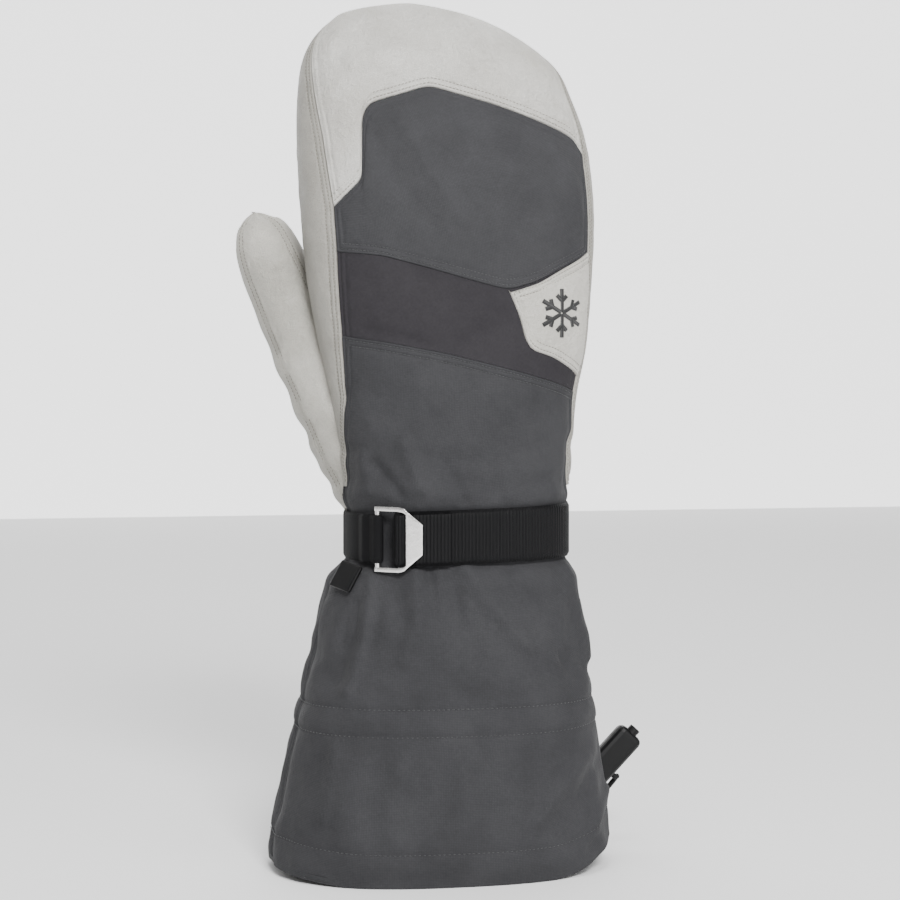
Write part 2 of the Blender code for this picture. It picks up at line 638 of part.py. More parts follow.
thumb_panel("thumb_back_panel", 8, 12)
thumb_panel("thumb_inner_panel", 12, 16)
thumb_panel("thumb_palm_panel", 2, 8)
thumb_padding = place("thumb_insulation", thumb_shell("thumb_padding", THUMB_PADDING_DEPTH, THUMB_PADDING),
                      (FILL, 0.9))
carve(thumb_padding, body_solid(PADDING_DEPTH - GAP))
carve(thumb_padding, below_thumb)
thumb_lining_shell = thumb_shell("thumb_lining", THUMB_LINING_DEPTH, THUMB_LINING)
thumb_lining = place("thumb_lining", thumb_lining_shell, (FLEECE, 0.95))
carve(thumb_lining, body_solid(LINING_DEPTH - GAP))
carve(thumb_lining, below_thumb)

# ---- care label, sewn inside the gauntlet ---------------------------------------------------
label_middle = np.array([0.012 + MIDDLE_X, 0.0, 0.050])
label = place("care_label", gauntlet_shell("care_label", GAUNTLET_LINING_DEPTH + LINING + GAP, 0.0004,
                                           0.030, 0.068), ((0.8, 0.8, 0.8), 0.8))
carve(label, block("label_cut", label_middle - [0.010, 0.0, 0.03], label_middle + [0.010, 0.09, 0.03]),
      "INTERSECT")

# ---- wrist strap, buckle and pull tab -------------------------------------------------------
WRIST = SECTIONS[int(np.argmin(np.abs(SECTIONS[:, 0] - WRIST_HEIGHT)))]


def wrist_point(angle, level):
    """A place around the wrist, a level above the fabric, and the outward direction there."""
    spot = around(WRIST, np.array([angle]))[0][:2]
    share_x = (spot[0] - WRIST[1] - MIDDLE_X) / WRIST[2]
    share_y = spot[1] / WRIST[3]
    out = np.array([np.sign(share_x) * abs(share_x) ** (SQUARENESS - 1) / WRIST[2],
                    np.sign(share_y) * abs(share_y) ** (SQUARENESS - 1) / WRIST[3]])
    out /= np.linalg.norm(out)
    return spot + out * level, out


def wrist_run(first, last, level, step=math.radians(4)):
    """Points around the wrist at one level between two angles."""
    count = max(2, int(abs(last - first) / step) + 1)
    return [tuple(wrist_point(angle, level)[0]) for angle in np.linspace(first, last, count)]


def ribbon(path, thickness):
    """The closed outline of a strap seen on edge, from the line along its middle."""
    points = [Vector(p) for p in path]
    left, right = [], []
    for index, here in enumerate(points):
        before = points[max(index - 1, 0)]
        after = points[min(index + 1, len(points) - 1)]
        along = (after - before).normalized()
        side = Vector((-along.y, along.x)) * thickness / 2
        left.append(tuple(here + side))
        right.append(tuple(here - side))
    return left + right[::-1]


def arc(centre, radius, first, last, steps=10):
    """Points along a circular arc."""
    return [(centre[0] + radius * math.cos(a), centre[1] + radius * math.sin(a))
            for a in np.linspace(first, last, steps)]


BAR_LEVEL = STRAP_GAP + TAPE + 0.0004 + BAR_RADIUS + 0.0007
BOW_LEVEL = STRAP_GAP + 2 * WEBBING + 0.0018
LEFT_BAR_ANGLE = math.radians(223.5)
left_bar = wrist_point(LEFT_BAR_ANGLE, BAR_LEVEL)[0]
bow_angle = LEFT_BAR_ANGLE
while np.linalg.norm(wrist_point(bow_angle, BOW_LEVEL)[0] - left_bar) < BOW_LENGTH - BAR_RADIUS:
    bow_angle += 0.002
bow_end = wrist_point(bow_angle, BOW_LEVEL)[0]
to_left = (left_bar - bow_end) / np.linalg.norm(left_bar - bow_end)
outward = np.array([-to_left[1], to_left[0]])
buckle_frame = Matrix((
    (to_left[0], outward[0], 0, bow_end[0]),
    (to_left[1], outward[1], 0, bow_end[1]),
    (0, 0, 1, WRIST_HEIGHT),
    (0, 0, 0, 1)))
bar_at = np.linalg.norm(left_bar - bow_end)
RIDGE = (0.0075, 0.0034)  # the highest line across the bow
BOW_RISE = 0.0006
half_bow = WEBBING_WIDTH / 2 + 0.0003 + BOW_ARM
metal = (METAL, 0.28, 1.0)
profile = ribbon([(0.0, BOW_RISE), (RIDGE[0] - 0.0008, RIDGE[1] - 0.0002),
                  (RIDGE[0] + 0.0008, RIDGE[1] - 0.0001), (bar_at, 0.0), (bar_at + 0.0012, -0.0001)],
                 BOW_PLATE)
bow = flat_plate("buckle", [profile], 2 * half_bow, buckle_frame, metal)
window = block("buckle_window", (BOW_FACE, -0.02, -half_bow + BOW_ARM),
               (BOW_LENGTH + 0.01, 0.02, half_bow - BOW_ARM))
window.matrix_world = buckle_frame
carve(bow, window)
for side in (-1, 1):
    corner = [(-0.004, side * half_bow * 0.46), (0.0005, side * half_bow * 0.46),
              (0.0080, side * (half_bow - 0.0006)), (0.0105, side * (half_bow + 0.0006)),
              (0.0105, side * (half_bow + 0.004)), (-0.004, side * (half_bow + 0.004))]
    cutter = outline_prism(f"buckle_corner_{'low' if side < 0 else 'high'}", corner, -0.02, 0.02)
    cutter.matrix_world = buckle_frame
    carve(bow, cutter)
middle_bar = bow_end + to_left * MIDDLE_BAR + outward * 0.0012
for name, spot in (("left_bar", left_bar), ("middle_bar", middle_bar)):
    ends = half_bow - 0.0005
    carve(bow, cylinder(f"buckle_{name}", BAR_RADIUS, (*spot, WRIST_HEIGHT - ends),
                        (*spot, WRIST_HEIGHT + ends), 12), "UNION")


def extruded_strap(name, path, thickness, width, finish):
    """A strap standing on edge around the wrist."""
    level = Matrix.Translation((0, 0, WRIST_HEIGHT))
    return flat_plate(name, [ribbon(path, thickness)], width, level, finish)


wrap = BAR_RADIUS + 0.0004 + WEBBING / 2
bar_angle = LEFT_BAR_ANGLE
while wrist_point(bar_angle, 0.0)[0] @ to_left > middle_bar @ to_left + 0.0005:
    bar_angle += 0.002
inward_turn = math.atan2(-outward[1], -outward[0])
lower_level = STRAP_GAP + WEBBING / 2
upper_level = lower_level + WEBBING + 0.0002
end_angle = bow_angle
while np.linalg.norm(wrist_point(end_angle, 0.0)[0] - wrist_point(bow_angle, 0.0)[0]) < FOLD_BACK:
    end_angle += 0.002
webbing_path = wrist_run(math.radians(358), bar_angle + 0.10, lower_level)
webbing_path += arc(middle_bar, wrap, inward_turn + 0.1, inward_turn + math.radians(205), 12)
webbing_path += [tuple(bow_end + to_left * 0.0055 + outward * -0.0002),
                 tuple(wrist_point(bow_angle - 0.03, upper_level + 0.0004)[0])]
webbing_path += wrist_run(bow_angle + 0.05, end_angle, upper_level)
extruded_strap("wrist_strap", webbing_path, WEBBING, WEBBING_WIDTH, (BLACK, 0.75))

tape_wrap = BAR_RADIUS + 0.0004 + TAPE / 2
tape_low = STRAP_GAP + TAPE / 2
tape_path = wrist_run(LEFT_BAR_ANGLE - 0.17, LEFT_BAR_ANGLE - 0.06, tape_low, 0.05)
tape_path += arc(left_bar, tape_wrap, inward_turn - 0.15, inward_turn - math.radians(195), 12)
tape_path += wrist_run(LEFT_BAR_ANGLE - 0.10, LEFT_BAR_ANGLE - 0.20, tape_low + TAPE + 0.0009, 0.05)
tape_path += wrist_run(LEFT_BAR_ANGLE - 0.32, math.radians(128), tape_low)
extruded_strap("buckle_tape", tape_path, TAPE, TAPE_WIDTH, (BLACK, 0.85))


def surface_at(height, angle, level=0.0):
    """A place on the faceted form at a height, stood off along its level outward direction."""
    above = int(np.clip(np.searchsorted(SECTIONS[:, 0], height), 1, len(SECTIONS) - 1))
    span = SECTIONS[above, 0] - SECTIONS[above - 1, 0]
    share = (height - SECTIONS[above - 1, 0]) / span
    spot = around(SECTIONS[above - 1] * (1 - share) + SECTIONS[above] * share, np.array([angle]))[0]
    ahead = around(SECTIONS[above - 1] * (1 - share) + SECTIONS[above] * share, np.array([angle + 0.01]))[0]
    out = np.array([(ahead - spot)[1], -(ahead - spot)[0], 0.0])
    out /= np.linalg.norm(out)
    return spot + out * level, out


PULL_ANGLE = math.radians(204)
pull_top_height = WRIST_HEIGHT - TAPE_WIDTH / 2 - 0.0010
pull_stand_off = 0.0014 + PULL_TAB_THICKNESS / 2
pull_top, pull_out = surface_at(pull_top_height, PULL_ANGLE, pull_stand_off + 0.0006)
pull_low, _ = surface_at(pull_top_height - PULL_TAB_LENGTH, PULL_ANGLE, pull_stand_off)
pull_down = (pull_low - pull_top) / np.linalg.norm(pull_low - pull_top)
pull_side = np.cross(pull_down, pull_out)
pull_side /= np.linalg.norm(pull_side)
pull_face = np.cross(pull_side, pull_down)


def rounded_box(name, size, finish, matrix, radius, segments=2):
    """A box of the size, its middle at the matrix's origin, with rounded edges."""
    mesh = bpy.data.meshes.new(name)
    work = bmesh.new()
    bmesh.ops.create_cube(work, size=1.0)
    bmesh.ops.scale(work, vec=size, verts=work.verts)
    work.to_mesh(mesh)
    work.free()
    made = place(name, mesh, finish)
    made.matrix_world = matrix
    bevel = made.modifiers.new("rounded edges", "BEVEL")
    bevel.width = radius
    bevel.segments = segments
    return made


def frame_from(x_axis, y_axis, z_axis, origin):
    """A matrix from three directions and a place."""
    return Matrix([[x_axis[i], y_axis[i], z_axis[i], origin[i]] for i in range(3)] + [[0, 0, 0, 1]])


pull_middle = pull_top + pull_down * PULL_TAB_LENGTH / 2
rounded_box("pull_tab", (PULL_TAB_WIDTH, PULL_TAB_THICKNESS, PULL_TAB_LENGTH), (BLACK, 0.35),
            frame_from(pull_side, pull_face, -pull_down, pull_middle), 0.0008)

# ---- drawcord, eyelet and toggle ------------------------------------------------------------
def side_x(height, depth_y):
    """The x of the gauntlet's outer face on the little-finger side, at a height and y."""
    above = int(np.clip(np.searchsorted(SECTIONS[:, 0], height), 1, len(SECTIONS) - 1))
    share = (height - SECTIONS[above - 1, 0]) / (SECTIONS[above, 0] - SECTIONS[above - 1, 0])
    _, middle, half_width, half_depth, _ = SECTIONS[above - 1] * (1 - share) + SECTIONS[above] * share
    return MIDDLE_X + middle + half_width * (1 - (depth_y / half_depth) ** SQUARENESS) ** (1 / SQUARENESS)


pin = np.array([side_x(TOGGLE_HEIGHT, TOGGLE_SIDE) + TOGGLE_STAND_OFF, TOGGLE_SIDE, TOGGLE_HEIGHT])
toggle_along = np.array([math.cos(TOGGLE_TILT), 0.0, math.sin(TOGGLE_TILT)])
toggle_across = np.array([-math.sin(TOGGLE_TILT), 0.0, math.cos(TOGGLE_TILT)])
toggle_front = np.array([0.0, -1.0, 0.0])
toggle_frame = frame_from(toggle_along, toggle_across, toggle_front, pin)
pin_end = 0.0024
body_middle = pin + toggle_along * (TOGGLE_LENGTH / 2 - pin_end)
toggle = rounded_box("toggle_body", (TOGGLE_LENGTH, TOGGLE_WIDTH, TOGGLE_THICKNESS), (BLACK, 0.4),
                     frame_from(toggle_along, toggle_across, toggle_front, body_middle), 0.0030, 3)


def toggle_cutter(name, low, high):
    """A box cutter in the toggle's own directions."""
    made = block(name, low, high)
    made.matrix_world = toggle_frame
    return made


def toggle_place(along, across=0.0, front=0.0):
    """A world place from distances in the toggle's own directions."""
    return pin + toggle_along * along + toggle_across * across + toggle_front * front


slot_end, bore_start = 0.0034, 0.0048
carve(toggle, toggle_cutter("toggle_slot", (-0.004, -0.02, -TAB_WIDTH / 2 - 0.0003),
                            (slot_end, 0.02, TAB_WIDTH / 2 + 0.0003)))
carve(toggle, cylinder("toggle_bore", BUTTON_RADIUS + GAP, toggle_place(bore_start),
                       toggle_place(TOGGLE_LENGTH + 0.01), 16))
carve(toggle, cylinder("toggle_cord_hole", CORD_HOLE, toggle_place(TOGGLE_CORD, -0.02),
                       toggle_place(TOGGLE_CORD, 0.02), 12))
carve(toggle, cylinder("toggle_pin", PIN_RADIUS, toggle_place(0, 0, -TOGGLE_THICKNESS / 2 + 0.0008),
                       toggle_place(0, 0, TOGGLE_THICKNESS / 2 - 0.0008), 12), "UNION")

button_start = bore_start + SPRING_LENGTH + 2 * GAP
button_end = TOGGLE_LENGTH - pin_end + BUTTON_PROUD
button = cylinder("toggle_button", BUTTON_RADIUS, toggle_place(button_start), toggle_place(button_end),
                  16, parts, (BLACK, 0.35))
hole = CORD_HOLE
carve(button, toggle_cutter("button_cord_slot", (TOGGLE_CORD - hole, -0.01, -hole),
                            (TOGGLE_CORD + hole + BUTTON_TRAVEL, 0.01, hole)))
coil = []
for step in range(int(SPRING_TURNS * 10) + 1):
    turn = 2 * math.pi * step / 10
    ring = BUTTON_RADIUS - 3 * SPRING_WIRE
    rise = SPRING_WIRE + GAP + step / (SPRING_TURNS * 10) * (SPRING_LENGTH - 2 * SPRING_WIRE)
    coil.append(toggle_place(bore_start + rise, ring * math.cos(turn), ring * math.sin(turn)))
tube("toggle_spring", coil, SPRING_WIRE, (METAL, 0.3, 1.0))

eyelet_angle = math.asin((TOGGLE_SIDE / np.interp(CASING_HEIGHT, SECTIONS[:, 0], SECTIONS[:, 3]))
                         ** (SQUARENESS / 2))
eyelet_spot, eyelet_out = surface_at(CASING_HEIGHT, eyelet_angle)
carve(palm_gauntlet, cylinder("eyelet_opening", EYELET_HOLE, eyelet_spot - eyelet_out * 0.004,
                              eyelet_spot + eyelet_out * 0.004, 12))
ring_start = eyelet_spot + eyelet_out * 0.0006
eyelet = cylinder("eyelet", EYELET_RADIUS, ring_start, ring_start + eyelet_out * EYELET_THICKNESS,
                  16, parts, (METAL, 0.35, 1.0))
carve(eyelet, cylinder("eyelet_hole", EYELET_HOLE, ring_start - eyelet_out * 0.002,
                       ring_start + eyelet_out * 0.004, 12))


def smooth_line(points, steps=4):
    """A Catmull-Rom line through the points."""
    line = []
    padded = [2 * np.array(points[0]) - points[1]] + [np.array(p) for p in points]
    padded.append(2 * np.array(points[-1]) - points[-2])
    for a, b, c, d in zip(padded, padded[1:], padded[2:], padded[3:]):
        for t in np.arange(steps) / steps:
            line.append(0.5 * (2 * b + (c - a) * t + (2 * a - 5 * b + 4 * c - d) * t ** 2
                               + (3 * b - a - 3 * c + d) * t ** 3))
    return line + [padded[-2]]


cord_layer = body_layer(CORD_DEPTH)[0]
above = int(np.searchsorted(SECTIONS[:, 0], CASING_HEIGHT))
share = (CASING_HEIGHT - SECTIONS[above - 1, 0]) / (SECTIONS[above, 0] - SECTIONS[above - 1, 0])
casing_ring = cord_layer[above - 1] + (cord_layer[above] - cord_layer[above - 1]) * share
casing = [casing_ring[column % COLUMNS] for column in range(4, COLUMNS + 2)]
entry, leave = toggle_place(TOGGLE_CORD, TOGGLE_WIDTH / 2), toggle_place(TOGGLE_CORD, -TOGGLE_WIDTH / 2)
free_end = leave + np.array([-0.0045, 0.0105, -0.0140])
route = [eyelet_spot - eyelet_out * 0.0024, eyelet_spot, eyelet_spot + eyelet_out * 0.0024,
         eyelet_spot + eyelet_out * 0.0048 - UP * 0.0022, entry + toggle_across * 0.0065 + UP * 0.0080,
         entry + toggle_across * 0.0016, toggle_place(TOGGLE_CORD), leave - toggle_across * 0.0014,
         leave - toggle_across * 0.0032 + [0, 0.0026, 0.0], free_end]
corner = casing[-1] * 0.3 + (eyelet_spot - eyelet_out * 0.0036) * 0.7
cord_line = casing[:-1] + smooth_line([casing[-1], corner] + route)
tube("drawcord", cord_line, CORD_RADIUS, (BLACK, 0.8))
end_along = route[-1] - route[-2]
end_along /= np.linalg.norm(end_along)
cylinder("cord_end", CORD_END_RADIUS, free_end + end_along * GAP,
         free_end + end_along * (GAP + CORD_END_LENGTH), 12, parts, (BLACK, 0.4))

tab_wrap = PIN_RADIUS + 0.0004 + TAB_THICKNESS / 2
tab_off = TAB_THICKNESS / 2 + 0.0012
tab_foot, tab_top = TOGGLE_HEIGHT - 0.0170, TOGGLE_HEIGHT - 0.0050
tab_path = [(side_x(h, TOGGLE_SIDE) + tab_off, h) for h in (tab_foot, tab_foot + 0.005, tab_top)]
tab_path += arc((pin[0], pin[2]), tab_wrap, math.radians(190), math.radians(-80), 14)
tab_path += [(side_x(tab_top, TOGGLE_SIDE) + tab_off + TAB_THICKNESS + 0.0006, tab_top - 0.0015),
             (side_x(tab_foot, TOGGLE_SIDE) + tab_off + TAB_THICKNESS + 0.0004, tab_foot + 0.004)]
tab_frame = frame_from((1, 0, 0), (0, 0, 1), (0, -1, 0), (0, TOGGLE_SIDE, 0))
flat_plate("toggle_tab", [ribbon(tab_path, TAB_THICKNESS)], TAB_WIDTH, tab_frame, (BLACK, 0.85))
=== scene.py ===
"""Gauntlet ski mitten, right hand: leather palm and fingertips, softshell back, webbing wrist strap."""
import math

import bmesh
import bpy
import numpy as np
from mathutils import Matrix, Vector


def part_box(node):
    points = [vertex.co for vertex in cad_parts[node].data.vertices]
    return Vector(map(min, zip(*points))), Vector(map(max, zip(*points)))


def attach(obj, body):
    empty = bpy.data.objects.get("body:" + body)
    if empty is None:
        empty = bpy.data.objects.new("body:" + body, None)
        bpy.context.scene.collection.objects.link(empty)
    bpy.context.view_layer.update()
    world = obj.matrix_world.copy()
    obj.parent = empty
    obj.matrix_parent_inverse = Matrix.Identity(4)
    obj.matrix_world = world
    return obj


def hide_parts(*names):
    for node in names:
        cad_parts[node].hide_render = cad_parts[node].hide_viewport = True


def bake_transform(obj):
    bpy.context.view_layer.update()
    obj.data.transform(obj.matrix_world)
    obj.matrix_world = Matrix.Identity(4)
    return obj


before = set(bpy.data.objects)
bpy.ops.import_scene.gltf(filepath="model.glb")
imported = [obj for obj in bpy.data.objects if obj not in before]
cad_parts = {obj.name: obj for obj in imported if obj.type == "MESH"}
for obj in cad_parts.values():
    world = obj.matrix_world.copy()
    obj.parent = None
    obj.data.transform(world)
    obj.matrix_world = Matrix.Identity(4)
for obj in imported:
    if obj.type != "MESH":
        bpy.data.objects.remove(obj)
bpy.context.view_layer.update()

# ---- Camera ---------------------------------------------------------------------------------
# A portrait lens about a metre away, a little to the thumb side and just above the middle of
# the mitten, so that the hem shows as a shallow curve.
hem_low, hem_high = (np.array(corner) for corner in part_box("gauntlet_back_panel"))
MIDDLE_X = (hem_low[0] + hem_high[0]) / 2 + 0.0002
camera_data = bpy.data.cameras.new("camera")
camera_data.lens = 95.6
camera = bpy.data.objects.new("camera", camera_data)
bpy.context.scene.collection.objects.link(camera)
camera_turn = math.radians(-12)
aim = Vector((MIDDLE_X + 0.0050, 0.0, 0.1912))
camera.location = aim + Vector((math.sin(camera_turn), -math.cos(camera_turn), 0)) * 1.1
camera.location.z = 0.235
camera.rotation_euler = (aim - camera.location).to_track_quat("-Z", "Y").to_euler()
bpy.context.scene.camera = camera

# ---- Studio ---------------------------------------------------------------------------------
# A pale seamless floor, a white surround, a large soft key from the upper left, a weaker fill
# from the right and a strip behind that rims the edges.


def colour(code):
    """Linear RGBA of an sRGB hex colour: the low part is linear, the rest a 2.4 power."""
    parts = [int(code[i:i + 2], 16) / 255 for i in (1, 3, 5)]
    return (*[p / 12.92 if p <= 0.04045 else ((p + 0.055) / 1.055) ** 2.4 for p in parts], 1.0)


def add_node(tree, kind, sockets=None, **settings):
    """Add a node, set its properties, and set or link its input sockets."""
    made = tree.nodes.new(kind)
    for name, value in settings.items():
        setattr(made, name, value)
    for name, value in (sockets or {}).items():
        if isinstance(value, bpy.types.NodeSocket):
            tree.links.new(value, made.inputs[name])
        else:
            made.inputs[name].default_value = value
    return made


def finish_material(name, roughness, metallic=0.0, **sockets):
    """A material with one Principled shader; returns the material, its tree and the shader."""
    made = bpy.data.materials.new(name)
    made.use_nodes = True
    shader = made.node_tree.nodes["Principled BSDF"]
    shader.inputs["Roughness"].default_value = roughness
    shader.inputs["Metallic"].default_value = metallic
    for socket, value in sockets.items():
        shader.inputs[socket.replace("_", " ")].default_value = value
    return made, made.node_tree, shader


floor_mesh = bpy.data.meshes.new("floor")
floor_mesh.from_pydata([(-3, -3, 0), (3, -3, 0), (3, 3, 0), (-3, 3, 0)], [], [(0, 1, 2, 3)])
floor = bpy.data.objects.new("floor", floor_mesh)
bpy.context.scene.collection.objects.link(floor)
floor_finish, floor_tree, floor_shader = finish_material("matt_white_floor", 0.9)
floor_shader.inputs["Base Color"].default_value = colour("#F4F4F4")
floor_mesh.materials.append(floor_finish)
backdrop_mesh = bpy.data.meshes.new("backdrop")
backdrop_mesh.from_pydata([(-3, 2.4, 0), (3, 2.4, 0), (3, 2.4, 3), (-3, 2.4, 3)], [], [(0, 1, 2, 3)])
backdrop = bpy.data.objects.new("backdrop", backdrop_mesh)
bpy.context.scene.collection.objects.link(backdrop)
glow, _, _ = finish_material("lit_white_backdrop", 1.0, Emission_Color=colour("#FFFFFF"), Emission_Strength=1.6)
backdrop_mesh.materials.append(glow)
world = bpy.data.worlds.new("studio")
world.use_nodes = True
world.node_tree.nodes["Background"].inputs["Color"].default_value = colour("#FFFFFF")
world.node_tree.nodes["Background"].inputs["Strength"].default_value = 0.5
bpy.context.scene.world = world
for name, place, size, power in (
    ("key", (0.05, -1.60, 1.15), 0.5, 50.0),
    ("fill", (0.9, -1.5, 0.5), 0.9, 8.0),
    ("rim", (0.3, 1.2, 1.3), 0.8, 5.0),
    ("top_strip", (-0.1, -0.3, 1.6), 0.5, 8.0),
):
    lamp = bpy.data.lights.new(name, "AREA")
    lamp.energy = power
    lamp.size = size
    light = bpy.data.objects.new(name, lamp)
    bpy.context.scene.collection.objects.link(light)
    light.location = place
    light.rotation_euler = (Vector((0, 0, 0.2)) - light.location).to_track_quat("-Z", "Y").to_euler()

# ---- The mitten's form ----------------------------------------------------------------------
# One patternmaker's form under every panel: flattened oval sections from the hem, in at the
# strapped wrist, out over the knuckles and closed at the fingertips.
LENGTH, WRIST_HEIGHT = 0.396, 0.153
HEM = (0.158, 0.108)
WRIST = (0.103, 0.072)
HAND = (0.1366, 0.066)
SQUARENESS = 2.4
HEM_RISE, HEM_RISE_OUTER = 0.004, 0.015      # at the thumb-side and the little-finger seam
CASING_HEIGHT, TIP_LEAN = 0.072, 0.008
SETTLE = 0.0016           # how far the panels sink into the form, their puffed middles reaching out of it
WRIST_SHIFT = 0.056 * HAND[0]
gauntlet_rows = [(0.0, 0.0), (0.12, 0.04), (0.40, 0.30), (0.66, 0.54), (0.84, 0.72)]
hand_rows = [
    (0.15, 0.790, 1.06, 0.056), (0.25, 0.832, 1.02, 0.050), (0.35, 0.905, 1.00, 0.050),
    (0.46, 0.960, 1.00, 0.040), (0.57, 0.992, 0.99, 0.036), (0.66, 0.998, 0.97, 0.028),
    (0.75, 0.980, 0.93, 0.014), (0.82, 0.935, 0.86, -0.005), (0.88, 0.872, 0.76, -0.023),
    (0.925, 0.745, 0.63, -0.054), (0.960, 0.580, 0.47, -0.083), (0.985, 0.370, 0.28, -0.108)]
rows = []
for up, taper in gauntlet_rows:
    rows.append((up * WRIST_HEIGHT, WRIST_SHIFT * taper, (HEM[0] + (WRIST[0] - HEM[0]) * taper) / 2,
                 (HEM[1] + (WRIST[1] - HEM[1]) * taper) / 2, 0.0))
for side, extra in ((-0.75, 0.0006), (0.75, 0.0003)):
    rows.append((WRIST_HEIGHT + side * 0.0130, WRIST_SHIFT, WRIST[0] / 2 + extra,
                 WRIST[1] / 2 + extra, 0.0))
for up, width, depth, shift in hand_rows:
    rows.append((WRIST_HEIGHT + up * (LENGTH - WRIST_HEIGHT), shift * HAND[0], width * HAND[0] / 2,
                 depth * HAND[1] / 2, TIP_LEAN * max(0.0, (up - 0.35) / 0.65) ** 2))
rows.append((LENGTH, -0.085 * HAND[0], 0.0, 0.0, TIP_LEAN))
mirrored = (rows[-2][0], 2 * rows[-1][1] - rows[-2][1], -rows[-2][2], -rows[-2][3], rows[-2][4])
rows = np.array([rows[0]] + rows + [mirrored])
rows[0, 0] -= 0.01


def spline(t):
    """Section values at row number t: a Catmull-Rom curve through the rows."""
    t = np.clip(np.asarray(t, float), 0, len(rows) - 3)
    i = np.minimum(t.astype(int), len(rows) - 4)
    f = (t - i)[..., None]
    a, b, c, d = rows[i], rows[i + 1], rows[i + 2], rows[i + 3]
    return 0.5 * (2 * b + (c - a) * f + (2 * a - 5 * b + 4 * c - d) * f ** 2
                  + (3 * b - a - 3 * c + d) * f ** 3)


row_numbers = np.linspace(0, len(rows) - 3, 6000)
row_heights = np.maximum.accumulate(spline(row_numbers)[:, 0])
fold_field = None         # filled by the cloth simulation of the fabric, further down


def section(height):
    """Middle x, half-width, half-depth and middle y of the form at heights."""
    values = spline(np.interp(height, row_heights, row_numbers))
    return values[..., 1], np.maximum(values[..., 2], 1e-5), np.maximum(values[..., 3], 1e-5), values[..., 4]


def sheet_mesh(name, points, around=False, thickness=0.0, flip=False):
    """A grid of points as quads, with a UV map in metres run along its rows and columns."""
    count_v, count_u = points.shape[:2]
    steps = count_u if around else count_u - 1
    v, u = np.meshgrid(np.arange(count_v - 1), np.arange(steps), indexing="ij")
    nxt = (u + 1) % count_u
    quads = np.stack([v * count_u + u, v * count_u + nxt, (v + 1) * count_u + nxt, (v + 1) * count_u + u], -1)
    quads = quads.reshape(-1, 4)
    if flip:
        quads = quads[:, ::-1]
    mesh = bpy.data.meshes.new(name)
    mesh.from_pydata(points.reshape(-1, 3).tolist(), [], quads.tolist())
    along = np.zeros(points.shape[:2])
    along[:, 1:] = np.cumsum(np.linalg.norm(np.diff(points, axis=1), axis=2), axis=1)
    up = np.zeros(points.shape[:2])
    up[1:] = np.cumsum(np.linalg.norm(np.diff(points, axis=0), axis=2), axis=0)
    along -= along.mean(axis=1, keepdims=True)
    flat = np.stack([along, up], -1).reshape(-1, 2)
    layer = mesh.uv_layers.new(name="cloth")
    loops = np.zeros(len(mesh.loops), dtype=np.int32)
    mesh.loops.foreach_get("vertex_index", loops)
    layer.data.foreach_set("uv", flat[loops].astype(np.float32).ravel())
    mesh.shade_smooth()
    made = bpy.data.objects.new(name, mesh)
    bpy.context.scene.collection.objects.link(made)
    made["cut"] = [float(np.ptp(along, axis=1).max()), float(up.max()),
                   float(sum(polygon.area for polygon in mesh.polygons))]
    if thickness:
        wall = made.modifiers.new("thickness", "SOLIDIFY")
        wall.thickness = thickness
        wall.offset = -1.0
    return made


# Places on the form are a share of the way round, from the thumb side over the back (0 to 0.5)
# and over the palm (0.5 to 1), and a row number from the hem to the fingertip.
ring_angles = np.linspace(-math.pi, math.pi, 4001)
ring = np.stack([np.sign(np.cos(ring_angles)) * np.abs(np.cos(ring_angles)) ** (2 / SQUARENESS) * 0.068,
                 np.sign(np.sin(ring_angles)) * np.abs(np.sin(ring_angles)) ** (2 / SQUARENESS) * 0.036], -1)
ring_share = np.concatenate([[0], np.cumsum(np.linalg.norm(np.diff(ring, axis=0), axis=1))])
ring_share /= ring_share[-1]
LAST_ROW = len(rows) - 3.0
SEAM_HEIGHTS = (0.0150, 0.0660, 0.0780)     # the hem's seam and the two of the drawcord casing


def spot(side, up):
    """The round share and row number of a place on the back, from shares of width and height."""
    height = WRIST_HEIGHT + up * (LENGTH - WRIST_HEIGHT)
    half = len(ring_angles) // 2
    across = np.interp(np.clip(side, -1, 1), ring[:half + 1, 0] / 0.068, ring_share[:half + 1])
    return np.array([across, np.interp(height, row_heights, row_numbers)])


def bare(t, r):
    """The form itself at round shares and row numbers."""
    values = spline(r)
    middle, half_width, half_depth, lean = (values[..., k] for k in (1, 2, 3, 4))
    angle = np.interp(np.mod(t, 1.0), ring_share, ring_angles)
    power = 2 / SQUARENESS
    cosine, sine = np.cos(angle), np.sin(angle)
    x_share = np.sign(cosine) * np.abs(cosine) ** power
    x = middle + MIDDLE_X + half_width * x_share
    y = lean + half_depth * np.sign(sine) * np.abs(sine) ** power
    reach = np.clip((np.abs(x_share) - 0.5) / 0.5, 0, 1)
    height = values[..., 0]
    most = np.where(x_share > 0, HEM_RISE_OUTER, HEM_RISE)
    return np.stack([x, y, height + most * reach ** 2 * np.clip(1 - height / CASING_HEIGHT, 0, 1)], -1)


def slopes(t, r):
    """How the form's point moves with the round share and with the row number, and its normal."""
    with_t = (bare(t + 0.002, r) - bare(t - 0.002, r)) / 0.004
    low, high = np.clip(r - 0.01, 0, LAST_ROW), np.clip(r + 0.01, 0, LAST_ROW)
    with_r = (bare(t, high) - bare(t, low)) / (high - low)[..., None]
    normal = np.cross(with_t, with_r)
    length = np.linalg.norm(normal, axis=-1, keepdims=True)
    normal = np.where(length > 1e-9, normal / np.maximum(length, 1e-9), [0.0, 0.0, 1.0])
    return with_t, with_r, normal


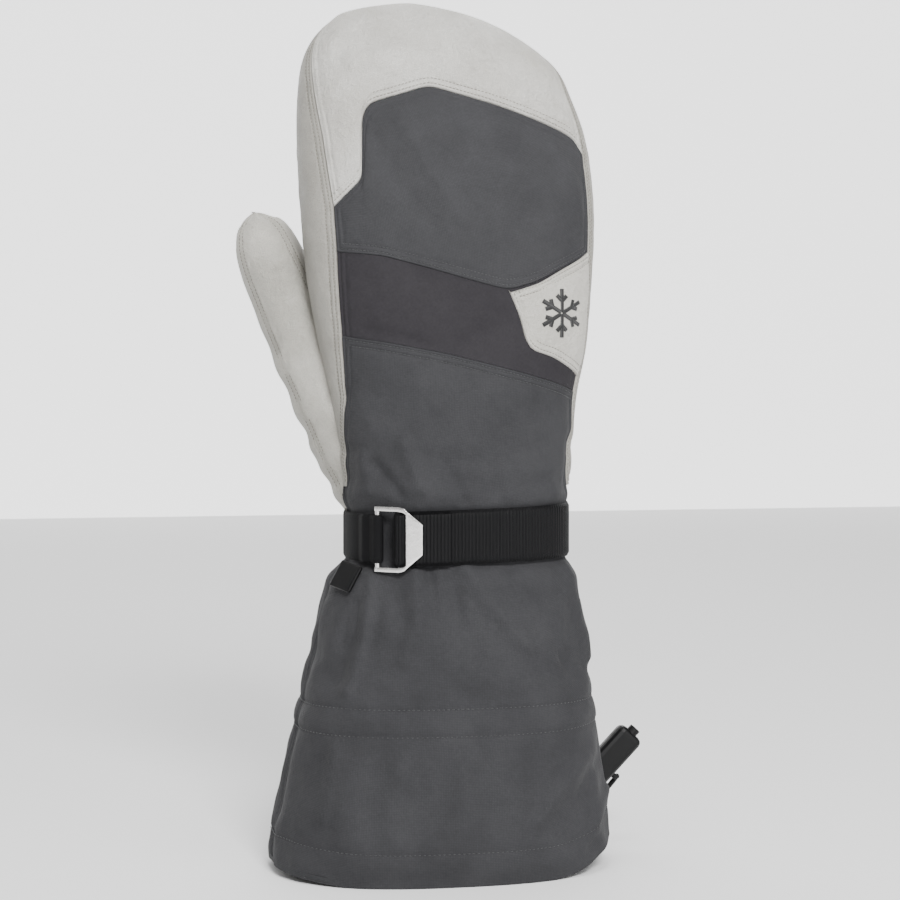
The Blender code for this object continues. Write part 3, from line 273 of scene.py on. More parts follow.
# Folds pressed into the back by wear, each a line across it: points as x and height, then the
# ridge's height and its half-width; troughs are negative.
back_folds = [
    ([(-0.030, 0.196), (-0.023, 0.176)], 0.0018, 0.0042),
    ([(-0.042, 0.186), (-0.032, 0.173)], -0.0018, 0.0034),
    ([(-0.047, 0.190), (-0.044, 0.174)], 0.0016, 0.0032),
    ([(-0.012, 0.186), (-0.004, 0.171)], -0.0011, 0.0036),
    ([(0.012, 0.188), (0.018, 0.172)], 0.0011, 0.0040),
    ([(0.035, 0.190), (0.040, 0.172)], 0.0012, 0.0040),
    ([(0.050, 0.196), (0.049, 0.174)], -0.0012, 0.0036),
    ([(-0.026, 0.138), (-0.027, 0.116), (-0.032, 0.100)], 0.0019, 0.0044),
    ([(-0.020, 0.140), (-0.018, 0.121)], -0.0020, 0.0034),
    ([(-0.044, 0.136), (-0.049, 0.108), (-0.056, 0.086)], 0.0020, 0.0032),
    ([(-0.052, 0.124), (-0.062, 0.090)], -0.0018, 0.0032),
    ([(-0.003, 0.140), (0.004, 0.128), (0.013, 0.118), (0.026, 0.104)], 0.0022, 0.0046),
    ([(-0.010, 0.136), (-0.006, 0.116), (0.004, 0.098)], -0.0017, 0.0044),
    ([(0.018, 0.138), (0.030, 0.120), (0.044, 0.098)], -0.0016, 0.0046),
    ([(0.046, 0.138), (0.054, 0.118), (0.060, 0.096)], 0.0021, 0.0036),
    ([(0.054, 0.052), (0.040, 0.040), (0.028, 0.027)], 0.0021, 0.0042),
    ([(0.062, 0.048), (0.050, 0.034), (0.040, 0.020)], -0.0018, 0.0044),
    ([(0.069, 0.034), (0.058, 0.021), (0.050, 0.014)], 0.0018, 0.0036),
    ([(-0.030, 0.060), (-0.040, 0.036), (-0.036, 0.018)], 0.0013, 0.0055),
    ([(0.000, 0.060), (0.004, 0.030)], -0.0010, 0.0060),
    ([(-0.062, 0.060), (-0.068, 0.030)], 0.0016, 0.0036),
    ([(-0.046, 0.246), (-0.020, 0.240)], -0.0008, 0.0030),
    ([(-0.030, 0.338), (-0.018, 0.318), (-0.003, 0.296)], 0.0015, 0.0052),
    ([(-0.042, 0.330), (-0.028, 0.308), (-0.014, 0.288)], -0.0013, 0.0056),
    ([(0.010, 0.330), (0.022, 0.306)], 0.0009, 0.0060),
    ([(0.040, 0.330), (0.050, 0.314), (0.054, 0.300)], 0.0013, 0.0040),
    ([(-0.050, 0.366), (-0.026, 0.372)], 0.0012, 0.0050),
    ([(-0.036, 0.356), (-0.016, 0.364)], -0.0011, 0.0046),
    ([(-0.004, 0.380), (0.012, 0.366)], 0.0009, 0.0044),
    ([(0.024, 0.368), (0.046, 0.350)], -0.0008, 0.0050),
]


def pressed(points, lines, facing):
    """Sum of the folds at points on one face: each falls off as a Gaussian from its line."""
    total = np.zeros(points.shape[:-1])
    flat = points[..., [0, 2]]
    for line, ridge, reach in lines:
        nearest = np.full(points.shape[:-1], 1.0)
        for start, end in zip(line, line[1:]):
            start, run = np.array(start), np.array(end) - np.array(start)
            share = np.clip(((flat - start) @ run) / (run @ run), 0, 1)
            gap = np.linalg.norm(flat - start - share[..., None] * run, axis=-1)
            nearest = np.minimum(nearest, gap * (1 + 0.5 * np.abs(share - 0.5)))
        total += ridge * np.exp(-(nearest / reach) ** 2)
    return total * np.clip(points[..., 1] * facing / 0.012, 0, 1)


def skin(t, r, lift=0.0, creased=True):
    """A point of the worn mitten's outside: the form lifted along its normal, with its folds."""
    points = bare(t, r)
    normal = slopes(t, r)[2]
    rise = lift - SETTLE + np.zeros(points.shape[:-1])
    height = points[..., 2]
    strap = (height - WRIST_HEIGHT) / 0.0125
    rise = rise - 0.0011 * np.exp(-np.clip(np.abs(strap) - 0.85, 0, None) ** 2 / 0.03)
    rise = rise + 0.0010 * np.exp(-((np.abs(strap) - 1.55) / 0.35) ** 2)
    ring_height = spline(r)[..., 0]
    rise = rise + 0.0005 * np.sqrt(np.clip(1 - ((ring_height - CASING_HEIGHT) / 0.0056) ** 2, 0, 1))
    for seam in SEAM_HEIGHTS:
        rise = rise - 0.0005 * np.exp(-((ring_height - seam) / 0.0009) ** 2)
    if creased:
        rise = rise + pressed(points, back_folds, -1)
        if fold_field is not None:
            u = np.mod(t, 1.0) * fold_field.shape[1]
            v = np.clip(points[..., 2] / FIELD_HEIGHT, 0, 1) * (fold_field.shape[0] - 1)
            u0, v0 = np.floor(u).astype(int) % fold_field.shape[1], np.minimum(v.astype(int), fold_field.shape[0] - 2)
            fu, fv = u - np.floor(u), v - v0
            u1 = (u0 + 1) % fold_field.shape[1]
            rise = rise + ((fold_field[v0, u0] * (1 - fu) + fold_field[v0, u1] * fu) * (1 - fv)
                           + (fold_field[v0 + 1, u0] * (1 - fu) + fold_field[v0 + 1, u1] * fu) * fv)
    return points + normal * np.maximum(rise, -0.0024)[..., None]


def line_of(places, soft=2, step=0.0012):
    """A smooth curve of (round share, row) places, evenly spaced over the form."""
    places = np.array(places, float)
    for _ in range(2):
        lengths = np.concatenate([[0], np.cumsum(np.linalg.norm(np.diff(bare(*places.T), axis=0), axis=1))])
        count = max(8, int(lengths[-1] / step))
        even = np.linspace(0, lengths[-1], count)
        places = np.stack([np.interp(even, lengths, places[:, k]) for k in (0, 1)], -1)
        for _ in range(soft):
            places[1:-1] = 0.25 * places[:-2] + 0.5 * places[1:-1] + 0.25 * places[2:]
    return places


def along(line, count_or_shares):
    """The curve's places at shares of its length, or at an even count of them."""
    shares = np.linspace(0, 1, count_or_shares) if np.isscalar(count_or_shares) else count_or_shares
    at = np.linspace(0, 1, len(line))
    return np.stack([np.interp(shares, at, line[:, k]) for k in (0, 1)], -1)


# Grid lines near a turned edge, in metres from it: the roll itself, then both stitch grooves.
EDGE_LINES = np.array([0, 0.00025, 0.0005, 0.0008, 0.0012, 0.0016, 0.0020, 0.0025, 0.0031, 0.0036,
                       0.0041, 0.0046, 0.0054])


def edge_spacing(length, step, first=True, last=True):
    """Shares from 0 to 1 with close lines by the turned edges and even steps between."""
    lines = EDGE_LINES[EDGE_LINES < length * 0.45]
    start = lines / length if first else np.array([0.0])
    end = 1 - lines[::-1] / length if last else np.array([1.0])
    count = max(2, int((end[0] - start[-1]) * length / step))
    return np.concatenate([start, np.linspace(start[-1], end[0], count + 1)[1:-1], end])


def roll(gap, thickness, rows_at=(0.0016, 0.0041), puff=0.0007):
    """Height over the base a distance in from an edge: a rolled edge, two stitch grooves, a puff."""
    round_part = np.sqrt(np.clip(1 - (1 - np.clip(gap / (thickness * 1.1), 0, 1)) ** 2, 0, 1))
    height = -0.0005 + (thickness + 0.0005) * round_part
    for at in rows_at:
        height -= 0.00040 * np.exp(-((gap - at) / 0.00055) ** 2)
    return height + puff * (1 - np.exp(-np.clip(gap - 0.0045, 0, None) / 0.006))


def panel(name, bottom, top, left, right, thickness, step=0.0011, rolled="btlr", rows_at=(0.0016, 0.0041),
          puff=0.0007, lift=0.0):
    """A panel between four curves of places: a Coons patch laid on the mitten, its edges rolled."""
    width = np.linalg.norm(np.diff(bare(*bottom.T), axis=0), axis=1).sum()
    width = max(width, np.linalg.norm(np.diff(bare(*top.T), axis=0), axis=1).sum())
    height = np.linalg.norm(np.diff(bare(*left.T), axis=0), axis=1).sum()
    height = max(height, np.linalg.norm(np.diff(bare(*right.T), axis=0), axis=1).sum())
    u = edge_spacing(width, step, "l" in rolled, "r" in rolled)
    v = edge_spacing(height, step, "b" in rolled, "t" in rolled)
    low, high, near, far = along(bottom, u), along(top, u), along(left, v), along(right, v)
    uu, vv = u[None, :, None], v[:, None, None]
    places = ((1 - vv) * low[None] + vv * high[None] + (1 - uu) * near[:, None] + uu * far[:, None]
              - (1 - uu) * (1 - vv) * low[0] - uu * (1 - vv) * low[-1]
              - (1 - uu) * vv * high[0] - uu * vv * high[-1])
    flat = bare(places[..., 0], places[..., 1])
    across = np.concatenate([np.zeros((len(v), 1)), np.cumsum(np.linalg.norm(np.diff(flat, axis=1), axis=2), 1)], 1)
    upward = np.concatenate([np.zeros((1, len(u))), np.cumsum(np.linalg.norm(np.diff(flat, axis=0), axis=2), 0)], 0)
    gap = np.full(flat.shape[:2], 0.05)
    for letter, distance in (("l", across), ("r", across[:, -1:] - across), ("b", upward), ("t", upward[-1:] - upward)):
        if letter in rolled:
            gap = np.minimum(gap, distance)
    raised = roll(gap, thickness, rows_at, puff) + lift
    points = skin(places[..., 0], places[..., 1], raised)
    return sheet_mesh(name, points)


stitch_runs = []          # points, tangents and normals of every visible stitch, by thread


def capsule_ring(length, radius):
    """Points and faces of one stitch: a short thread bent down at its ends, six sides."""
    stations = [(-0.5, 0.35, -0.9), (-0.38, 0.85, -0.2), (0.0, 1.0, 0.25), (0.38, 0.85, -0.2), (0.5, 0.35, -0.9)]
    turns = np.arange(6) * math.pi / 3
    points = [(at * length, radius * size * math.cos(a), radius * (size * math.sin(a) + drop))
              for at, size, drop in stations for a in turns]
    faces = [(k * 6 + j, k * 6 + (j + 1) % 6, (k + 1) * 6 + (j + 1) % 6, (k + 1) * 6 + j)
             for k in range(4) for j in range(6)]
    faces += [tuple(range(5, -1, -1)), tuple(range(24, 30))]
    return np.array(points), faces


def scatter(name, points, tangents, normals, length, radius, finish):
    """One object holding a copy of the stitch at every point, turned to its tangent and normal."""
    template, faces = capsule_ring(length, radius)
    tangents = tangents / np.linalg.norm(tangents, axis=1, keepdims=True)
    sideways = np.cross(normals, tangents)
    sideways /= np.linalg.norm(sideways, axis=1, keepdims=True)
    outward = np.cross(tangents, sideways)
    basis = np.stack([tangents, sideways, outward], 1)
    everything = points[:, None] + np.einsum("kj,njc->nkc", template, basis)
    mesh = bpy.data.meshes.new(name)
    shift = np.arange(len(points)) * len(template)
    polygons = [tuple(corner + s for corner in face) for s in shift.tolist() for face in faces]
    mesh.from_pydata(everything.reshape(-1, 3).tolist(), [], polygons)
    mesh.shade_smooth()
    mesh.materials.append(finish)
    made = bpy.data.objects.new(name, mesh)
    bpy.context.scene.collection.objects.link(made)
    return made


def beside(line, distance):
    """The curve moved sideways over the form by a real distance, to the left of its run."""
    t, r = line.T
    with_t, with_r, normal = slopes(t, r)
    run = np.gradient(bare(t, r), axis=0)
    run /= np.maximum(np.linalg.norm(run, axis=1, keepdims=True), 1e-9)
    push = np.cross(normal, run) * distance
    aa, ab, bb = (with_t ** 2).sum(1), (with_t * with_r).sum(1), (with_r ** 2).sum(1)
    pa, pb = (push * with_t).sum(1), (push * with_r).sum(1)
    area = np.maximum(aa * bb - ab ** 2, 1e-12)
    return line + np.stack([(pa * bb - pb * ab) / area, (pb * aa - pa * ab) / area], -1)


def stitch_row(line, distance, lift, pitch=0.0017, trim=0.0):
    """Stitch points along a curve moved sideways, pitch apart, on a panel lifted by lift."""
    moved = line_of(beside(line, distance), 1)
    points = skin(moved[:, 0], moved[:, 1], lift)
    lengths = np.concatenate([[0], np.cumsum(np.linalg.norm(np.diff(points, axis=0), axis=1))])
    at = np.arange(trim + pitch / 2, lengths[-1] - trim, pitch)
    dense = np.stack([np.interp(at, lengths, points[:, k]) for k in range(3)], -1)
    ahead = np.stack([np.interp(at + 0.0004, lengths, points[:, k]) for k in range(3)], -1)
    t, r = (np.interp(at, lengths, moved[:, k]) for k in (0, 1))
    stitch_runs.append((dense, ahead - dense, slopes(t, r)[2]))

# ---- Worn fabric ----------------------------------------------------------------------------
# The outer fabric is cut a little larger than the padding under it. A cloth tube of the form,
# held at the hem, the casing seams, the strap and the knuckles, is grown, sagged and settled,
# and its distance from the form is kept as the wrinkle field every panel follows.
FIELD_HEIGHT = 0.330


def settle_fabric(columns=150, levels=140, frames=34):
    """Outward distance of the settled cloth from the form, by level and round share."""
    heights = np.linspace(0, FIELD_HEIGHT, levels)
    t = np.arange(columns) / columns
    tt, rr = np.meshgrid(t, np.interp(heights, row_heights, row_numbers))
    points, normals = bare(tt, rr), slopes(tt, rr)[2]
    drape = sheet_mesh("fabric_tube", points, around=True)
    hold = np.full(heights.shape, 0.10)
    hold += 0.9 * np.exp(-(heights / 0.004) ** 2)
    for seam, reach in ((0.066, 0.0022), (0.078, 0.0022), (WRIST_HEIGHT, 0.0130)):
        hold += 0.9 * np.exp(-(np.clip(np.abs(heights - seam) - reach / 2, 0, None) / reach) ** 2)
    hold += 0.55 * np.clip((heights - 0.20) / 0.03, 0, 1)
    hold[-1] = 1.0
    hold = np.clip(hold, 0, 1)
    side_seams = np.exp(-(np.minimum(np.minimum(t, 1 - t), np.abs(t - 0.5)) / 0.006) ** 2)
    weights = np.clip(hold[:, None] + 0.5 * side_seams[None], 0, 1)
    group = drape.vertex_groups.new(name="held")
    for level in np.unique(np.round(weights, 2)):
        group.add(np.flatnonzero(np.round(weights, 2).ravel() == level).tolist(), float(level), "REPLACE")
    cloth = drape.modifiers.new("cloth", "CLOTH")
    made = cloth.settings
    made.quality = 6
    made.mass = 0.25
    made.tension_stiffness = made.compression_stiffness = 30.0
    made.shear_stiffness = 14.0
    made.bending_stiffness = 0.6
    made.air_damping = 6.0
    made.vertex_group_mass = "held"
    made.pin_stiffness = 0.5
    made.shrink_min = -0.055
    made.effector_weights.gravity = 0.4
    cloth.point_cache.frame_end = frames
    scene = bpy.context.scene
    for frame_number in range(1, frames + 1):
        scene.frame_set(frame_number)
    graph = bpy.context.evaluated_depsgraph_get()
    settled = drape.evaluated_get(graph).data
    moved = np.empty(len(settled.vertices) * 3)
    settled.vertices.foreach_get("co", moved)
    scene.frame_set(1)
    bpy.data.objects.remove(drape)
    away = ((moved.reshape(points.shape) - points) * normals).sum(axis=-1)
    for _ in range(2):
        away = 0.5 * away + 0.25 * (np.roll(away, 1, 1) + np.roll(away, -1, 1))
        away[1:-1] = 0.5 * away[1:-1] + 0.25 * (away[:-2] + away[2:])
    return 0.0016 * np.tanh((away - away.mean()) / 0.0016)


fold_field = settle_fabric()

# ---- Leathers and fabrics -------------------------------------------------------------------
# Goatskin with a fine pebble and soft creases, a brushed four-way softshell, a denser stretch
# cloth over the knuckles, and the fleece of the lining.


def bump_over(tree, shader, *layers):
    """Chain bumps of (height socket, distance) into the shader's normal."""
    normal = None
    for height, distance in layers:
        sockets = {"Height": height, "Distance": distance, "Strength": 1.0}
        if normal is not None:
            sockets["Normal"] = normal
        normal = add_node(tree, "ShaderNodeBump", sockets).outputs["Normal"]
    tree.links.new(normal, shader.inputs["Normal"])


def mixed(tree, factor, first, second, blend="MIX"):
    """Colour between two, which are sockets or colours, by a factor socket or number."""
    made = add_node(tree, "ShaderNodeMix", data_type="RGBA", blend_type=blend)
    for socket, value in ((made.inputs[0], factor), (made.inputs[6], first), (made.inputs[7], second)):
        if isinstance(value, bpy.types.NodeSocket):
            tree.links.new(value, socket)
        else:
            socket.default_value = value
    return made.outputs[2]


def noise(tree, place, scale, detail=3.0, roughness=0.5):
    """Noise of a scale per metre at a place socket; returns its factor socket."""
    return add_node(tree, "ShaderNodeTexNoise", {"Vector": place, "Scale": scale, "Detail": detail,
                                                 "Roughness": roughness}).outputs["Fac"]


def stretched(tree, value, low, high, to_low=0.0, to_high=1.0):
    """A value socket mapped from one range to another and clamped."""
    return add_node(tree, "ShaderNodeMapRange", {"Value": value, "From Min": low, "From Max": high,
                                                 "To Min": to_low, "To Max": to_high}).outputs["Result"]


def leather(name, base, shade, grain=1500.0):
    """Pebbled goatskin: cells of about 0.7 mm, soft creases, a worn colour that drifts, and painted shade in the
    valleys between the cells.
    """
    made, tree, shader = finish_material(name, 0.46, Specular_IOR_Level=0.5, Sheen_Weight=0.03)
    place = add_node(tree, "ShaderNodeTexCoord").outputs["Object"]
    cells = add_node(tree, "ShaderNodeTexVoronoi", {"Vector": place, "Scale": grain},
                     feature="DISTANCE_TO_EDGE").outputs["Distance"]
    pebble = stretched(tree, cells, 0.0, 0.22)
    fine = noise(tree, place, 2600.0, 4.0)
    crease = noise(tree, place, 130.0, 5.0, 0.6)
    drift = stretched(tree, noise(tree, place, 34.0, 4.0, 0.6), 0.34, 0.68)
    toned = mixed(tree, drift, colour(base), colour(shade))
    # Painted shade: the colour is darkened to 0.8 in the valleys between the pebbles.
    painted_valley_shade = stretched(tree, pebble, 0.0, 0.7, 0.80, 1.0)
    toned = mixed(tree, 1.0, toned, painted_valley_shade, "MULTIPLY")
    tree.links.new(toned, shader.inputs["Base Color"])
    worn = noise(tree, place, 90.0, 5.0, 0.65)
    tree.links.new(stretched(tree, worn, 0.32, 0.68, 0.36, 0.60), shader.inputs["Roughness"])
    bump_over(tree, shader, (crease, 0.0026), (pebble, 0.00021), (fine, 0.00006))
    return made


WAVE_TURNS = 3.18          # a Wave node of scale one repeats this many times to the unit


def cloth_finish(name, base, light, pitch, depth, roughness=0.86, sheen=0.04, heather=0.35):
    """Woven cloth: warp and weft ribs of a pitch in metres over the cloth's own map, painted shade between the ribs and
    painted highlight on them, and slubs.
    """
    made, tree, shader = finish_material(name, roughness, Specular_IOR_Level=0.2, Sheen_Weight=sheen,
                                         Sheen_Roughness=0.4)
    place = add_node(tree, "ShaderNodeTexCoord").outputs["Object"]
    flat = add_node(tree, "ShaderNodeUVMap", uv_map="cloth").outputs["UV"]
    ribs = []
    for axis in ("X", "Y"):
        wave = add_node(tree, "ShaderNodeTexWave", {"Vector": flat, "Scale": 1 / (pitch * WAVE_TURNS),
                                                    "Distortion": 0.6, "Detail": 1.0, "Detail Scale": 40.0},
                        wave_type="BANDS", bands_direction=axis)
        ribs.append(wave.outputs["Fac"])
    weave = add_node(tree, "ShaderNodeMath", {0: ribs[0], 1: ribs[1]}, operation="MULTIPLY").outputs["Value"]
    slub = noise(tree, place, 900.0, 3.0, 0.6)
    drift = stretched(tree, noise(tree, place, 30.0, 4.0, 0.6), 0.35, 0.7)
    toned = mixed(tree, drift, colour(base), colour(light))
    speck = stretched(tree, slub, 0.35, 0.7, 1 - 0.22 * heather, 1 + 0.22 * heather)
    toned = mixed(tree, 1.0, toned, speck, "MULTIPLY")
    # Painted shade and highlight: the colour goes from 0.82 between the yarns to 1.12 on their crests.
    toned = mixed(tree, 1.0, toned, stretched(tree, weave, 0.0, 1.0, 0.82, 1.12), "MULTIPLY")
    tree.links.new(toned, shader.inputs["Base Color"])
    soft = noise(tree, place, 160.0, 4.0, 0.55)
    bump_over(tree, shader, (soft, 0.0007), (weave, depth), (slub, 0.00006))
    return made


pale_leather = leather("goatskin_pale_grey", "#D3D1CB", "#C0BDB6")
# Same goatskin as the cap, its colour painted darker: painted shade over the palm and the sides of the hand.
palm_leather = leather("goatskin_palm_grey_painted_shade", "#ACA9A1", "#9A978F")
# Same goatskin again, painted a little darker: painted shade over the thumb.
thumb_leather_painted_shade = leather("goatskin_thumb_grey_painted_shade", "#C9C6BD", "#AFACA3")
patch_leather = leather("goatskin_knuckle_patch", "#D0CDC5", "#C1BEB5", 1700.0)
palm_suede = leather("suede_palm_reinforcement", "#A5A29B", "#97948D", 2200.0)
softshell = cloth_finish("softshell_charcoal", "#333335", "#3B3B3D", 0.00075, 0.00008)
softshell_low = cloth_finish("softshell_charcoal_lower", "#2F2F31", "#373739", 0.00075, 0.00008)
band_cloth = cloth_finish("stretch_knuckle_cloth", "#29272A", "#312F32", 0.00055, 0.00006, 0.9, 0.02)
fleece = cloth_finish("brushed_fleece_lining", "#2C2D30", "#3A3B3F", 0.0016, 0.0003, 0.95, 0.6, 1.0)
facing_cloth = cloth_finish("hem_facing_taffeta", "#39393C", "#444447", 0.0005, 0.00004, 0.7, 0.1)
# Grey thread painted darker than the thread itself, to carry the painted shade of the stitch pits in the leather.
pale_thread_with_pit_shade, _, thread_shader = finish_material("bonded_thread_grey_with_pit_shade", 0.5, Sheen_Weight=0.2)
thread_shader.inputs["Base Color"].default_value = colour("#6E6A60")
dark_thread, _, thread_shader = finish_material("bonded_thread_charcoal", 0.55, Sheen_Weight=0.2)
thread_shader.inputs["Base Color"].default_value = colour("#252527")

# ---- Padding --------------------------------------------------------------------------------
# Synthetic batting between the waterproof film and the fleece, quilted to neither, closed over
# the fingertips and over the thumb.
padding_core = cloth_finish("synthetic_batting", "#BDBEB9", "#C9CAC5", 0.0020, 0.0002, 0.95, 0.3, 1.0)


def inside_skin(name, depth, low, high, steps, inward=True):
    """The form moved inwards by a depth, between two heights, facing the hand or the shell."""
    rr = np.interp(np.linspace(low, high, steps), row_heights, row_numbers)
    if high >= LENGTH:
        rr = np.linspace(np.interp(low, row_heights, row_numbers), LAST_ROW, steps)
    tt, rr = np.meshgrid(np.arange(180) / 180, rr)
    return sheet_mesh(name, bare(tt, rr) - slopes(tt, rr)[2] * depth, around=True, flip=inward)


hand_padding = inside_skin("hand_padding", 0.0048, 0.093, LENGTH, 60, inward=False)
hand_padding.data.materials.append(padding_core)
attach(hand_padding, "root")
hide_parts("waterproof_membrane", "back_insulation", "palm_insulation")

# ---- Back of the hand -----------------------------------------------------------------------
# Four pieces over the back: softshell below the knuckles, a stretch band across them, softshell
# above it, and a leather cap on the fingertips. Each overlaps the one below with a turned edge.
seam_left = [(-1.0, -0.63), (-1.0, 0.06), (-0.995, 0.14), (-0.99, 0.18), (-0.944, 0.25), (-0.890, 0.3724),
             (-0.862, 0.45), (-0.846, 0.526), (-0.840, 0.609), (-0.878, 0.73), (-0.945, 0.85), (-0.99, 0.93),
             (-1.0, 0.97), (-1.0, 1.0)]
seam_right = [(1.0, -0.63), (1.0, 0.0), (0.965, 0.08), (0.95, 0.10), (0.940, 0.268), (0.940, 0.2975),
              (0.932, 0.40), (0.926, 0.530), (0.920, 0.715), (0.942, 0.85), (0.985, 0.93), (1.0, 0.97), (1.0, 1.0)]


def places(shares, palm=False):
    """Smoothable places from (side, up) shares, on the back or on the palm."""
    made = np.array([spot(side, up) for side, up in shares])
    if palm:
        made[:, 0] = 1 - made[:, 0]
    return made


def part_of(seam, low, high):
    """The stretch of a side seam between two heights, ends included."""
    ups = np.array([up for _, up in seam])
    sides = np.array([side for side, _ in seam])
    inside = [(s, u) for s, u in seam if low + 0.004 < u < high - 0.004]
    ends = [(float(np.interp(u, ups, sides)), u) for u in (low, high)]
    return line_of(places([ends[0]] + inside + [ends[1]]))


cap_edge = line_of(places([(-0.84, 0.609), (-0.65, 0.660), (-0.62, 0.775), (-0.57, 0.800), (-0.13, 0.835),
                           (0.32, 0.802), (0.60, 0.775), (0.86, 0.745), (0.92, 0.715)]), 3)
band_top = line_of(places([(-0.846, 0.526), (-0.56, 0.519), (-0.257, 0.497), (0.09, 0.471), (0.306, 0.457),
                           (0.522, 0.473), (0.697, 0.498), (0.926, 0.530)]), 6)
band_foot = line_of(places([(-0.89, 0.3724), (-0.592, 0.361), (-0.175, 0.341), (0.26, 0.315), (0.575, 0.296),
                            (0.94, 0.268)]), 6)
patch_foot = line_of(places([(0.306, 0.457), (0.385, 0.409), (0.431, 0.366), (0.484, 0.346), (0.665, 0.333),
                             (0.814, 0.315), (0.940, 0.2975)]), 3)
patch_top = line_of(places([(0.306, 0.457), (0.522, 0.473), (0.697, 0.498), (0.926, 0.530)]), 4)
hem_back = line_of(np.array([[t, 0.0] for t in np.linspace(0.0, 0.5, 40)]))

lower_left, lower_right = part_of(seam_left, -0.63, 0.3724), part_of(seam_right, -0.63, 0.268)
band_left, band_right = part_of(seam_left, 0.3724, 0.526), part_of(seam_right, 0.268, 0.530)
upper_left, upper_right = part_of(seam_left, 0.526, 0.609), part_of(seam_right, 0.530, 0.715)
cap_left, cap_right = part_of(seam_left, 0.609, 1.0), part_of(seam_right, 0.715, 1.0)
tip_back = np.stack([np.linspace(0.0, 0.5, 60), np.full(60, LAST_ROW)], -1)

lower = panel("back_lower_softshell", hem_back, band_foot, lower_left, lower_right, 0.0006, rolled="tlr")
band = panel("knuckle_stretch_band", band_foot, band_top, band_left, band_right, 0.0002, rolled="lr", puff=0.0)
upper = panel("back_upper_softshell", band_top, cap_edge, upper_left, upper_right, 0.0009, puff=0.0011)
cap = panel("fingertip_leather_cap", cap_edge, tip_back, cap_left, cap_right, 0.0013, rolled="blr", puff=0.0009)
patch = panel("knuckle_leather_patch", patch_foot, patch_top, patch_foot[:2], part_of(seam_right, 0.2975, 0.53),
              0.0013, rolled="bt", puff=0.0006, lift=0.0001)
for piece, finish, nodes in (
    (lower, softshell_low, ("back_lower_panel", "gauntlet_back_panel")),
    (band, band_cloth, ("knuckle_band",)),
    (upper, softshell, ("back_upper_panel",)),
    (cap, pale_leather, ("fingertip_cap",)),
    (patch, patch_leather, ("knuckle_patch",)),
):
    piece.data.materials.append(finish)
    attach(piece, "root")
    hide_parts(*nodes)

# ---- Palm -----------------------------------------------------------------------------------
# One leather panel wraps the palm and both edges of the hand, closed to the cap over the
# fingertips, with a second layer sewn on where a pole or a rope bears.
palm_left = part_of(seam_right, 0.09, 1.0)
palm_right = part_of(seam_left, 0.09, 1.0) + [1.0, 0.0]
palm_foot = line_of(np.stack([np.linspace(palm_left[0, 0], palm_right[0, 0], 60), np.full(60, palm_left[0, 1])], -1))
tip_palm = np.stack([np.linspace(0.5, 1.0, 60), np.full(60, LAST_ROW)], -1)
palm = panel("palm_leather", palm_foot, tip_palm, palm_left, palm_right, 0.0011, 0.0015, rolled="blr", puff=0.0008)
# The palm panel's darker goatskin is painted shade.
palm.data.materials.append(palm_leather)
palm_back = line_of(places([(-0.10, 0.16), (0.45, 0.16)], True)[::-1])
reinforcement = panel(
    "palm_reinforcement_suede", palm_back,
    line_of(places([(0.66, 0.66), (0.40, 0.78), (-0.35, 0.78)], True), 6),
    line_of(places([(0.45, 0.16), (0.66, 0.30), (0.66, 0.66)], True), 6),
    line_of(places([(-0.10, 0.16), (-0.12, 0.32), (-0.36, 0.42), (-0.52, 0.60), (-0.35, 0.78)], True), 6),
    0.0011, 0.0016, lift=0.0017)
reinforcement.data.materials.append(palm_suede)
hem_palm = line_of(np.array([[t, 0.0] for t in np.linspace(0.5, 1.0, 40)]))
gauntlet_palm = panel("gauntlet_palm_softshell", hem_palm,
                      line_of(np.stack([np.linspace(0.5, 1.0, 40), np.full(40, palm_left[0, 1])], -1)),
                      line_of(np.array([[0.5, r] for r in np.linspace(0, palm_left[0, 1], 40)])),
                      line_of(np.array([[1.0, r] for r in np.linspace(0, palm_left[0, 1], 40)])),
                      0.0006, 0.0013, rolled="lr")
gauntlet_palm.data.materials.append(softshell_low)
for piece, node in ((palm, "palm_panel"), (reinforcement, "palm_reinforcement"),
                    (gauntlet_palm, "gauntlet_palm_panel")):
    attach(piece, "root")
    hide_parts(node)

# ---- Thumb ----------------------------------------------------------------------------------
# A three-piece leather thumb set into the palm side of the left edge, pointing up beside the
# hand; its seams run along the back and close over the tip.
thumb_rows = [(-.0120, .0080, .145, .0160, .0150), (-.0240, .0110, .168, .0185, .0160),
              (-.0350, .0140, .190, .0195, .0165), (-.0450, .0170, .212, .0190, .0165),
              (-.0550, .0200, .234, .0182, .0160), (-.0645, .0230, .256, .0170, .0150),
              (-.0735, .0250, .277, .0158, .0140), (-.0778, .0262, .289, .0136, .0118),
              (-.0803, .0268, .2965, .0092, .0080), (-.0812, .0270, .3010, 0.0, 0.0)]
thumb_rows = np.array([thumb_rows[0]] + thumb_rows
                      + [(-.0803, .0268, .2965, -.0092, -.0080)]) + [MIDDLE_X, 0, 0, 0, 0]
thumb_rows[0] = 2 * thumb_rows[1] - thumb_rows[2]


